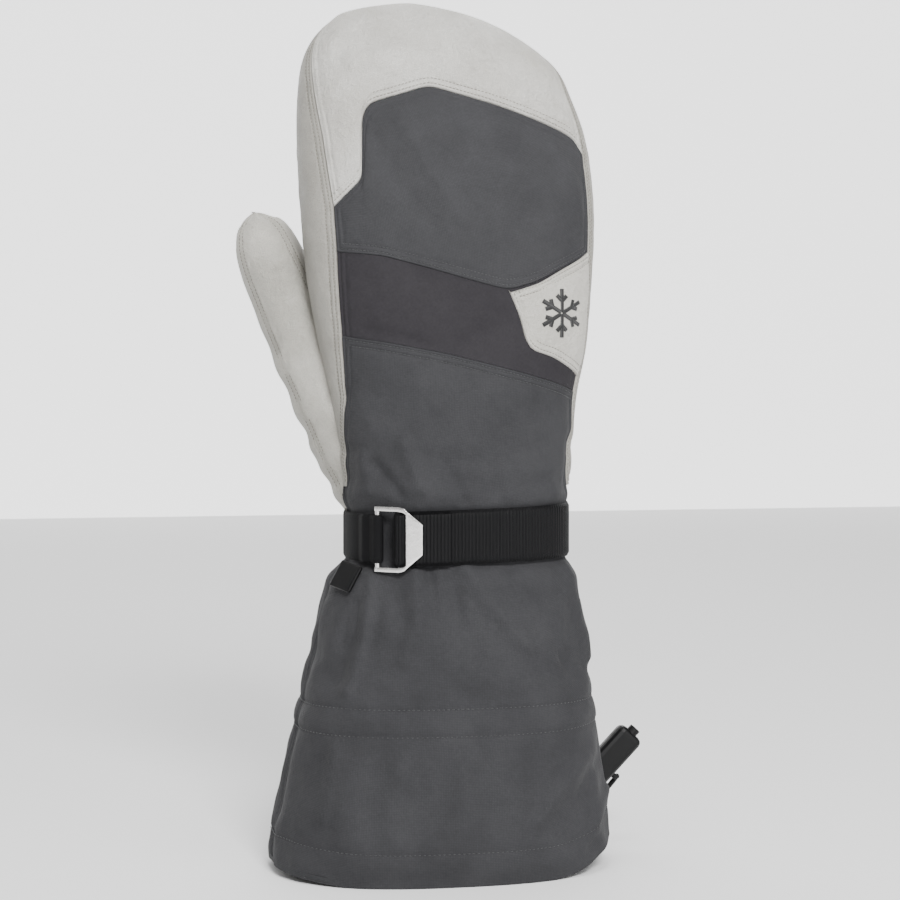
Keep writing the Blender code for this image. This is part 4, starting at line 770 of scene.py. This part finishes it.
def thumb_point(angle, s, lift=0.0):
    """A point of the thumb's skin: an oval square to its centre line, at row number s."""
    i = np.minimum(s.astype(int), len(thumb_rows) - 4)
    f = (s - i)[..., None]
    a, b, c, d = (thumb_rows[i + k] for k in range(4))
    here = 0.5 * (2 * b + (c - a) * f + (2 * a - 5 * b + 4 * c - d) * f ** 2 + (3 * b - a - 3 * c + d) * f ** 3)
    ahead = ((c - a) + 2 * (2 * a - 5 * b + 4 * c - d) * f + 3 * (3 * b - a - 3 * c + d) * f ** 2)[..., :3]
    ahead = ahead / np.linalg.norm(ahead, axis=-1, keepdims=True)
    side = np.cross([0.0, 1.0, 0.0], ahead)
    side /= np.linalg.norm(side, axis=-1, keepdims=True)
    deep = np.cross(ahead, side)
    taper = np.clip(np.abs(here[..., 3]) / 0.006, 0, 1)
    width = np.abs(here[..., 3]) + lift * taper
    depth = np.abs(here[..., 4]) + lift * taper
    return (here[..., :3] + side * (np.cos(angle) * width)[..., None] + deep * (np.sin(angle) * depth)[..., None]
            + ahead * (lift * np.clip(s - 7, 0, 1))[..., None])


def thumb_panel(name, first, last):
    """A leather panel of the thumb between two seam angles in degrees, its edges rolled."""
    first, last = math.radians(first), math.radians(last)
    u = edge_spacing((last - first) * 0.0165, 0.0011)
    s = np.concatenate([np.linspace(0.5, 7.0, 120), 7 + 2 * np.sin(np.linspace(0, math.pi / 2, 26))[1:]])
    angles, ss = np.meshgrid(first + (last - first) * u, s)
    radius = np.clip(np.abs(thumb_rows[1:-1][np.minimum(s.astype(int), 8), 3]), 0.004, None)[:, None]
    gap = np.minimum(angles - first, last - angles) * radius
    raised = roll(gap, 0.0009, (0.0016,), 0.0009) - 0.0016
    bend = 0.0007 * np.sin(ss * 7.0 + 2.0 * np.cos(angles)) * np.exp(-((ss - 3.2) / 1.6) ** 2)
    bend += 0.0005 * np.sin(ss * 12.0 - 3.0 * np.sin(angles * 1.5)) * np.exp(-((ss - 1.8) / 1.0) ** 2)
    return sheet_mesh(name, thumb_point(angles, ss, raised + bend))


angles, ss = np.meshgrid(np.arange(48) * math.pi / 24, np.concatenate([np.linspace(1.6, 7.0, 60),
                                                                      7 + 2 * np.sin(np.linspace(0.1, 1.5, 14))]))
thumb_padding = sheet_mesh("thumb_padding", thumb_point(angles, ss, -0.0040), around=True)
thumb_padding.data.materials.append(padding_core)
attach(thumb_padding, "root")
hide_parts("thumb_membrane", "thumb_insulation", "thumb_lining")
for name, first, last, node in (("thumb_back_leather", 205.7, 308.6, "thumb_back_panel"),
                                ("thumb_inner_leather", 308.6, 411.4, "thumb_inner_panel"),
                                ("thumb_palm_leather", 51.4, 205.7, "thumb_palm_panel")):
    piece = thumb_panel(name, first, last)
    piece.data.materials.append(thumb_leather_painted_shade)
    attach(piece, "root")
    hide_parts(node)

# ---- Hem and lining -------------------------------------------------------------------------
# The gauntlet's edge is turned under and faced with taffeta; brushed fleece lines the cuff and
# the hand, and a satin care label is sewn into the cuff.


turned = np.linspace(0, math.pi, 9)
hem_profile = [(0.0014 * math.cos(a) - 0.0019, 0.0013 - 0.0013 * math.sin(a)) for a in turned]
hem_profile = [(-0.0007, 0.0030)] + hem_profile + [(-0.0022, z) for z in np.linspace(0.003, 0.0165, 12)]
around_t = np.arange(220) / 220
hem_rows = []
for out, height in hem_profile:
    tt = around_t[None]
    rr = np.full_like(tt, np.interp(height, row_heights, row_numbers))
    hem_rows.append((bare(tt, rr) + slopes(tt, rr)[2] * [1, 1, 0] * out)[0])
hem = sheet_mesh("hem_facing_turned", np.array(hem_rows), around=True, flip=True)
hem.data.materials.append(softshell_low)
hem.data.materials.append(facing_cloth)
for face in hem.data.polygons:
    face.material_index = int(face.center.z > 0.004 + HEM_RISE_OUTER)
cuff_lining = inside_skin("gauntlet_fleece", 0.0070, 0.0160, 0.0925, 40)
hand_fleece = inside_skin("hand_fleece", 0.0076, 0.0905, LENGTH, 60)
for piece, node in ((cuff_lining, "gauntlet_lining"), (hand_fleece, "hand_lining")):
    piece.data.materials.append(fleece)
for piece, node in ((hem, "hem_facing"), (cuff_lining, "gauntlet_lining"), (hand_fleece, "hand_lining")):
    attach(piece, "root")
    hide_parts(node)
label_t = 0.75 + np.linspace(0.06, -0.06, 14)
tt, rr = np.meshgrid(label_t, np.interp(np.linspace(0.030, 0.068, 24), row_heights, row_numbers))
label = sheet_mesh("care_label_satin", bare(tt, rr) - slopes(tt, rr)[2] * 0.0079, thickness=0.0003)
satin, _, satin_shader = finish_material("label_satin_white", 0.45, Sheen_Weight=0.3)
satin_shader.inputs["Base Color"].default_value = colour("#E4E3DE")
label.data.materials.append(satin)
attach(label, "root")
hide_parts("care_label")

# ---- Wrist strap ----------------------------------------------------------------------------
# Ribbed nylon webbing round the back of the wrist, through a bent aluminium bow and sewn back
# on itself; twill tape holds the bow's far bar and runs on round the palm side.
WEBBING_WIDTH, WEBBING, TAPE_WIDTH, TAPE = 0.0245, 0.0015, 0.0215, 0.0012
STRAP_GAP, BAR_RADIUS = 0.0012, 0.0011
SIDE_BITE = 0.0024         # how much deeper the strap pulls in at the wrist's narrow sides
BOW_LENGTH, BOW_FACE, BOW_ARM, BOW_PLATE, MIDDLE_BAR = 0.0225, 0.0070, 0.0020, 0.0018, 0.0105


def wrist_point(angle, level):
    """A place round the wrist, a level above the fabric, and the outward direction there."""
    power = 2 / SQUARENESS
    half = np.array(WRIST) / 2
    share = np.array([np.sign(math.cos(angle)) * abs(math.cos(angle)) ** power,
                      np.sign(math.sin(angle)) * abs(math.sin(angle)) ** power])
    out = np.sign(share) * np.abs(share) ** (SQUARENESS - 1) / half
    out /= np.linalg.norm(out)
    level = level - SIDE_BITE * math.cos(angle) ** 8
    return share * half + [WRIST_SHIFT + MIDDLE_X, 0] + out * level, out


def wrist_run(first, last, level, step=0.02):
    """Points round the wrist at one level between two angles."""
    count = max(2, int(abs(last - first) / step) + 1)
    return [wrist_point(a, level)[0] for a in np.linspace(first, last, count)]


def arc(centre, radius, first, last, steps=24):
    """Points along a circular arc."""
    return [centre + radius * np.array([math.cos(a), math.sin(a)]) for a in np.linspace(first, last, steps)]


def strap(name, path, thickness, width, step, rib_pitch, rib_depth, tilt=0.0, plain_before=0.0):
    """A woven strap on edge along a path: rounded selvedges, and ribs across it as raised waves."""
    path = np.array(path)
    lengths = np.concatenate([[0], np.cumsum(np.linalg.norm(np.diff(path, axis=0), axis=1))])
    at = np.arange(0, lengths[-1], step)
    line = np.stack([np.interp(at, lengths, path[:, k]) for k in (0, 1)], -1)
    for _ in range(int(0.0008 / step) + 1):
        line[1:-1] = 0.25 * line[:-2] + 0.5 * line[1:-1] + 0.25 * line[2:]
    run = np.gradient(line, axis=0)
    run /= np.linalg.norm(run, axis=1, keepdims=True)
    out = np.stack([-run[:, 1], run[:, 0]], -1)
    across = np.concatenate([np.linspace(-0.5, 0.5, 17), np.linspace(0.5, -0.5, 17)])
    face = np.concatenate([np.ones(17), -np.ones(17)])
    edge = np.sqrt(np.clip(1 - np.clip((np.abs(across) * width - width / 2 + 0.0010) / 0.0010, 0, 1) ** 2, 0, 1))
    rib = 1 - np.abs(np.sin(math.pi * at / rib_pitch))
    lift = face[None] * edge[None] * (thickness / 2 - rib_depth * (rib ** 2)[:, None])
    places_xy = line[:, None] + out[:, None] * lift[..., None]
    slope = WRIST_HEIGHT + tilt * (places_xy[..., 0] - middle_bar[0]) if tilt else WRIST_HEIGHT
    height = slope + across[None] * width + 0 * lift
    points = np.concatenate([places_xy, height[..., None]], -1)
    made = sheet_mesh(name, points, around=True, flip=np.cross(run[0], out[0]) > 0)
    bm = bmesh.new()
    bm.from_mesh(made.data)
    bmesh.ops.holes_fill(bm, edges=[e for e in bm.edges if e.is_boundary], sides=0)
    bmesh.ops.recalc_face_normals(bm, faces=bm.faces)
    bm.to_mesh(made.data)
    bm.free()
    made.data.shade_smooth()
    return made


BAR_LEVEL = STRAP_GAP + TAPE + 0.0004 + BAR_RADIUS + 0.0007
BOW_LEVEL = STRAP_GAP + 2 * WEBBING + 0.0018
LEFT_BAR_ANGLE = math.radians(223.5)
left_bar = wrist_point(LEFT_BAR_ANGLE, BAR_LEVEL)[0]
bow_angle = LEFT_BAR_ANGLE
while np.linalg.norm(wrist_point(bow_angle, BOW_LEVEL)[0] - left_bar) < BOW_LENGTH - BAR_RADIUS:
    bow_angle += 0.002
bow_end = wrist_point(bow_angle, BOW_LEVEL)[0]
to_left = (left_bar - bow_end) / np.linalg.norm(left_bar - bow_end)
outward = np.array([-to_left[1], to_left[0]])
bar_at = np.linalg.norm(left_bar - bow_end)
middle_bar = bow_end + to_left * MIDDLE_BAR + outward * 0.0012
inward_turn = math.atan2(-outward[1], -outward[0])
half_bow = WEBBING_WIDTH / 2 + 0.0003 + BOW_ARM

bar_angle = LEFT_BAR_ANGLE
while wrist_point(bar_angle, 0.0)[0] @ to_left > middle_bar @ to_left + 0.0005:
    bar_angle += 0.002
lower_level = STRAP_GAP + WEBBING / 2
upper_level = lower_level + WEBBING + 0.0002
end_angle = bow_angle
while np.linalg.norm(wrist_point(end_angle, 0.0)[0] - wrist_point(bow_angle, 0.0)[0]) < 0.0118:
    end_angle += 0.002
wrap = BAR_RADIUS + 0.0004 + WEBBING / 2
webbing_path = wrist_run(math.radians(358), bar_angle + 0.10, lower_level)
webbing_path += arc(middle_bar, wrap, inward_turn + 0.1, inward_turn + math.radians(205))
webbing_path += [bow_end + to_left * 0.0055 - outward * 0.0002, wrist_point(bow_angle - 0.03, upper_level + 0.0004)[0]]
webbing_path += wrist_run(bow_angle + 0.05, end_angle, upper_level)
webbing = strap("wrist_webbing", webbing_path, WEBBING, WEBBING_WIDTH, 0.00022, 0.0016, 0.00042, tilt=0.028)
tape_wrap = BAR_RADIUS + 0.0004 + TAPE / 2
tape_low = STRAP_GAP + TAPE / 2
tape_path = wrist_run(LEFT_BAR_ANGLE - 0.17, LEFT_BAR_ANGLE - 0.06, tape_low)
tape_path += arc(left_bar, tape_wrap, inward_turn - 0.15, inward_turn - math.radians(195))
tape_path += wrist_run(LEFT_BAR_ANGLE - 0.10, LEFT_BAR_ANGLE - 0.20, tape_low + TAPE + 0.0009)
tape_path += wrist_run(LEFT_BAR_ANGLE - 0.32, math.radians(128), tape_low)
tape = strap("buckle_twill_tape", tape_path, TAPE, TAPE_WIDTH, 0.0004, 0.0008, 0.00004)


def webbing_finish(name, base, light, pitch, roughness):
    """Woven nylon: fine diagonal yarns over the strap's own map, with a faint filament shine."""
    made, tree, shader = finish_material(name, roughness, Specular_IOR_Level=0.14)
    flat = add_node(tree, "ShaderNodeUVMap", uv_map="cloth").outputs["UV"]
    yarn = add_node(tree, "ShaderNodeTexWave", {"Vector": flat, "Scale": 0.314 / pitch, "Distortion": 1.5,
                                                "Detail": 2.0, "Detail Scale": 60.0}, bands_direction="DIAGONAL")
    place = add_node(tree, "ShaderNodeTexCoord").outputs["Object"]
    fuzz = noise(tree, place, 1800.0, 3.0)
    tree.links.new(mixed(tree, yarn.outputs["Fac"], colour(base), colour(light)), shader.inputs["Base Color"])
    bump_over(tree, shader, (yarn.outputs["Fac"], 0.00008), (fuzz, 0.00006))
    return made


webbing.data.materials.append(webbing_finish("nylon_webbing_black", "#040405", "#0C0C0E", 0.0006, 0.42))
tape.data.materials.append(webbing_finish("twill_tape_black", "#060607", "#0E0E10", 0.0005, 0.75))
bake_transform(webbing)
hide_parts("wrist_strap")
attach(tape, "root")
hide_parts("buckle_tape")

# ---- Buckle ---------------------------------------------------------------------------------
# A bow bent from aluminium plate: a broad chamfered face, two arms, and two round bars, with
# bright tumbled edges.
aluminium, metal_tree, metal_shader = finish_material("tumbled_aluminium", 0.24, 1.0)
metal_shader.inputs["Base Color"].default_value = colour("#ECEAE8")
metal_place = add_node(metal_tree, "ShaderNodeTexCoord").outputs["Object"]
scuffs = noise(metal_tree, metal_place, 420.0, 5.0, 0.65)
metal_tree.links.new(stretched(metal_tree, scuffs, 0.35, 0.75, 0.2, 0.36), metal_shader.inputs["Roughness"])
bump_over(metal_tree, metal_shader, (scuffs, 0.00003))

arm_share = 1 - BOW_ARM / half_bow
bow_stations = [0.0, 0.0020, 0.0045, 0.0066, BOW_FACE, 0.0078, 0.0088, 0.0105, 0.0130, 0.0160, 0.0190, bar_at,
                bar_at + 0.0012]
bow_rows = [-1, -arm_share, -0.5, 0.0, 0.5, arm_share, 1]
profile = [(0.0, 0.0006), (0.0067, 0.0032), (0.0083, 0.0033), (bar_at, 0.0002), (bar_at + 0.0012, 0.0)]
bow_points, bow_faces = [], []
for a in bow_stations:
    half = np.interp(a, [0.0, 0.0080, 0.0105], [half_bow * 0.46, half_bow - 0.0006, half_bow])
    out = np.interp(a, *zip(*profile)) + BOW_PLATE / 2
    xy = bow_end + to_left * a + outward * out
    bow_points += [(xy[0], xy[1], WRIST_HEIGHT + half * share) for share in bow_rows]
for i, a in enumerate(bow_stations[:-1]):
    for j in range(len(bow_rows) - 1):
        if a >= BOW_FACE and 1 <= j <= len(bow_rows) - 3:
            continue
        n = len(bow_rows)
        bow_faces.append((i * n + j, i * n + j + 1, (i + 1) * n + j + 1, (i + 1) * n + j))
bow_mesh = bpy.data.meshes.new("buckle_bow")
bow_mesh.from_pydata(bow_points, [], bow_faces)
bow_mesh.shade_smooth()
bow = bpy.data.objects.new("buckle_bow", bow_mesh)
bpy.context.scene.collection.objects.link(bow)
if (np.array(bow_mesh.polygons[0].normal)[:2] @ outward) < 0:
    bow_mesh.flip_normals()
plate = bow.modifiers.new("plate", "SOLIDIFY")
plate.thickness = BOW_PLATE
plate.offset = -1.0
edges = bow.modifiers.new("edges", "BEVEL")
edges.width = 0.0005
edges.segments = 3
edges.limit_method = "ANGLE"
edges.angle_limit = math.radians(35)
bars = bmesh.new()
for at in (left_bar, middle_bar):
    place = Matrix.Translation((at[0], at[1], WRIST_HEIGHT))
    bmesh.ops.create_cone(bars, cap_ends=True, segments=24, radius1=BAR_RADIUS, radius2=BAR_RADIUS,
                          depth=2 * half_bow - 0.0012, matrix=place)
bars_mesh = bpy.data.meshes.new("buckle_bars")
bars.to_mesh(bars_mesh)
bars.free()
bars_mesh.shade_smooth()
bars_mesh.set_sharp_from_angle(angle=math.radians(40))
bar_pair = bpy.data.objects.new("buckle_bars", bars_mesh)
bpy.context.scene.collection.objects.link(bar_pair)
for piece in (bow, bar_pair):
    piece.data.materials.append(aluminium)
    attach(piece, "buckle_link")
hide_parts("buckle")

# ---- Stitching ------------------------------------------------------------------------------
# Bonded thread, about six stitches to the centimetre, in double rows beside the turned edges.
for line, side, lift in (
    (cap_edge, 1, 0.00105), (patch_foot, 1, 0.00115), (patch_top, -1, 0.00115), (palm_left[:], -1, 0.0009),
    (part_of(seam_left, 0.09, 0.93), 1, 0.0009),
):
    for distance in (0.0016, 0.0041):
        stitch_row(line, side * distance, lift, trim=0.002)
light_runs, stitch_runs = stitch_runs, []
thumb_runs = []
for line, side, lift in ((band_foot, -1, 0.0004), (band_top, 1, 0.0007)):
    for distance in (0.0016, 0.0041):
        stitch_row(line, side * distance, lift, trim=0.002)
for seam in SEAM_HEIGHTS:
    ring_row = float(np.interp(seam, row_heights, row_numbers))
    stitch_row(line_of(np.array([[t, ring_row] for t in np.linspace(0, 1, 200)])), 0.0, 0.00145, 0.0022)
for name, runs, finish in (("stitches_light", light_runs, pale_thread_with_pit_shade), ("stitches_dark", stitch_runs, dark_thread)):
    threads = scatter(name, *(np.concatenate([run[k] for run in runs]) for k in range(3)), 0.00125, 0.00017, finish)
    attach(threads, "root")

# ---- Pull tab and toggle --------------------------------------------------------------------
# A moulded rubber pull tab hangs from the twill; the drawcord comes out of its casing through an
# eyelet, runs through a moulded toggle with a spring button and ends in a moulded tip.


def moulded(name, base, roughness, grain=0.00003):
    """Moulded polymer: one dark colour under a fine spark-eroded grain."""
    made, tree, shader = finish_material(name, roughness, Specular_IOR_Level=0.22)
    shader.inputs["Base Color"].default_value = colour(base)
    place = add_node(tree, "ShaderNodeTexCoord").outputs["Object"]
    texture = noise(tree, place, 3200.0, 3.0)
    tree.links.new(stretched(tree, noise(tree, place, 220.0), 0.3, 0.7, roughness - 0.06, roughness + 0.08),
                   shader.inputs["Roughness"])
    bump_over(tree, shader, (texture, grain))
    return made


rubber = moulded("pull_tab_rubber", "#060607", 0.44)
acetal = moulded("toggle_acetal_black", "#0A0A0B", 0.42)
cord_braid, braid_tree, braid_shader = finish_material("polyester_cord_braid", 0.7, Specular_IOR_Level=0.3)
braid_place = add_node(braid_tree, "ShaderNodeTexCoord").outputs["Object"]
strands = add_node(braid_tree, "ShaderNodeTexVoronoi", {"Vector": braid_place, "Scale": 1500.0})
braid_tree.links.new(mixed(braid_tree, strands.outputs["Distance"], colour("#111113"), colour("#050506")),
                     braid_shader.inputs["Base Color"])
bump_over(braid_tree, braid_shader, (strands.outputs["Distance"], 0.00012))
pin = np.array([0.069537, 0.027, 0.029])
toggle_along = np.array([0.694658, 0.0, 0.719340])
toggle_across = np.array([-0.719340, 0.0, 0.694658])
eyelet_spot, eyelet_out = np.array([0.056065, 0.027, 0.072]), np.array([0.78189, 0.62342, 0.0])
cord_hole = pin + toggle_along * 0.0125
entry, leave = cord_hole + toggle_across * 0.0070, cord_hole - toggle_across * 0.0070
cord_route = [eyelet_spot - eyelet_out * 0.0024, eyelet_spot, eyelet_spot + eyelet_out * 0.0024,
              eyelet_spot + eyelet_out * 0.0048 - [0, 0, 0.0022], entry + toggle_across * 0.0065 + [0, 0, 0.0080],
              entry + toggle_across * 0.0016, cord_hole, leave - toggle_across * 0.0014,
              leave - toggle_across * 0.0032 + [0, 0.0026, 0], leave + [-0.0045, 0.0105, -0.0140]]
cord_route = np.array([2 * cord_route[0] - cord_route[1]] + cord_route + [2 * cord_route[-1] - cord_route[-2]])
cord_steps = np.arange(0, len(cord_route) - 3, 0.05)
piece_of = np.minimum(cord_steps.astype(int), len(cord_route) - 4)
f = (cord_steps - piece_of)[:, None]
a, b, c, d = (cord_route[piece_of + k] for k in range(4))
cord_line = 0.5 * (2 * b + (c - a) * f + (2 * a - 5 * b + 4 * c - d) * f ** 2 + (3 * b - a - 3 * c + d) * f ** 3)
cord_run = np.gradient(cord_line, axis=0)
cord_run /= np.linalg.norm(cord_run, axis=1, keepdims=True)
cord_side = np.cross(cord_run, [0.0, 1.0, 0.2])
cord_side /= np.linalg.norm(cord_side, axis=1, keepdims=True)
cord_up = np.cross(cord_run, cord_side)
cord_at = np.concatenate([[0], np.cumsum(np.linalg.norm(np.diff(cord_line, axis=0), axis=1))])
turn = np.arange(16) * math.pi / 8
braid = 0.00122 + 0.00008 * np.cos(2 * turn[None] + cord_at[:, None] * 2200) * np.cos(
    2 * turn[None] - cord_at[:, None] * 2200)
cord_points = (cord_line[:, None] + cord_side[:, None] * (np.cos(turn) * braid)[..., None]
               + cord_up[:, None] * (np.sin(turn) * braid)[..., None])
cord = sheet_mesh("drawcord_braid", cord_points, around=True)
work = bmesh.new()
work.from_mesh(cord.data)
bmesh.ops.holes_fill(work, edges=[e for e in work.edges if e.is_boundary], sides=0)
bmesh.ops.recalc_face_normals(work, faces=work.faces)
work.to_mesh(cord.data)
work.free()
cord.data.materials.append(cord_braid)
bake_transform(cord)
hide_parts("drawcord")
for node, finish in (("pull_tab", rubber), ("toggle_body", acetal), ("toggle_button", rubber),
                     ("cord_end", acetal), ("eyelet", aluminium), ("toggle_spring", aluminium),
                     ("toggle_tab", tape.data.materials[0])):
    for index in range(len(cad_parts[node].data.materials)):
        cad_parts[node].data.materials[index] = finish

# The thumb's seams each have one row either side; its foot, top-stitched into the palm, gets no stitches here.
for seam in (205.7, 308.6, 411.4):
    for aside in (-0.0017, 0.0017):
        s = np.linspace(1.6, 8.3, 400)
        angle = math.radians(seam) + aside / np.clip(np.interp(s, np.arange(10), thumb_rows[1:11, 3]), 0.004, 1)
        path = thumb_point(angle, s, -0.0009)
        lengths = np.concatenate([[0], np.cumsum(np.linalg.norm(np.diff(path, axis=0), axis=1))])
        at = np.arange(0.001, lengths[-1], 0.0017)
        dense = np.stack([np.interp(at, lengths, path[:, k]) for k in range(3)], -1)
        ahead = np.stack([np.interp(at + 0.0004, lengths, path[:, k]) for k in range(3)], -1)
        outer = thumb_point(np.interp(at, lengths, angle), np.interp(at, lengths, s), 0.0011)
        thumb_runs.append((dense, ahead - dense, outer - dense))
thumb_stitches = scatter("stitches_thumb", *(np.concatenate([run[k] for run in thumb_runs]) for k in range(3)),
                         0.00125, 0.00017, pale_thread_with_pit_shade)
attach(thumb_stitches, "root")

# ---- Emblem ---------------------------------------------------------------------------------
# A six-armed snow crystal in black satin stitch on the knuckle patch.
emblem_side, emblem_up = 0.70, 0.415
centre = spot(emblem_side, emblem_up)
centre_point = bare(centre[0], centre[1])
satin_bars = []
for step in range(6):
    turn = step * math.pi / 3 + math.pi / 6
    satin_bars += [(along_arm, 0.0, turn, math.pi / 2, 0.0024) for along_arm in np.arange(0.0006, 0.0108, 0.00030)]
    for sign in (-1, 1):
        for reach in np.arange(0.0004, 0.0036, 0.00030):
            satin_bars.append((0.0055 + 0.707 * reach, sign * 0.707 * reach, turn, sign * math.pi / 4 + math.pi / 2,
                               0.0013))
points, tangents, normals, sizes = [], [], [], []
for a, b, turn, lay, width in satin_bars:
    dx = a * math.cos(turn) - b * math.sin(turn)
    dz = a * math.sin(turn) + b * math.cos(turn)
    height = centre_point[2] + dz
    middle, half_width, _, _ = section(np.array(height))
    side = (centre_point[0] + dx - MIDDLE_X - middle) / half_width
    at = spot(float(side), (height - WRIST_HEIGHT) / (LENGTH - WRIST_HEIGHT))
    points.append(skin(at[0], at[1], 0.0020))
    normals.append(slopes(at[0], at[1])[2])
    tangents.append((math.cos(turn + lay), 0.0, math.sin(turn + lay)))
emblem_thread, _, thread_shader = finish_material("embroidery_rayon_black", 0.38, Sheen_Weight=0.2)
thread_shader.inputs["Base Color"].default_value = colour("#070708")
emblem = scatter("knuckle_emblem_satin", np.array(points), np.array(tangents), np.array(normals), 0.0023, 0.00024,
                 emblem_thread)
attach(emblem, "root")
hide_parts("knuckle_emblem")
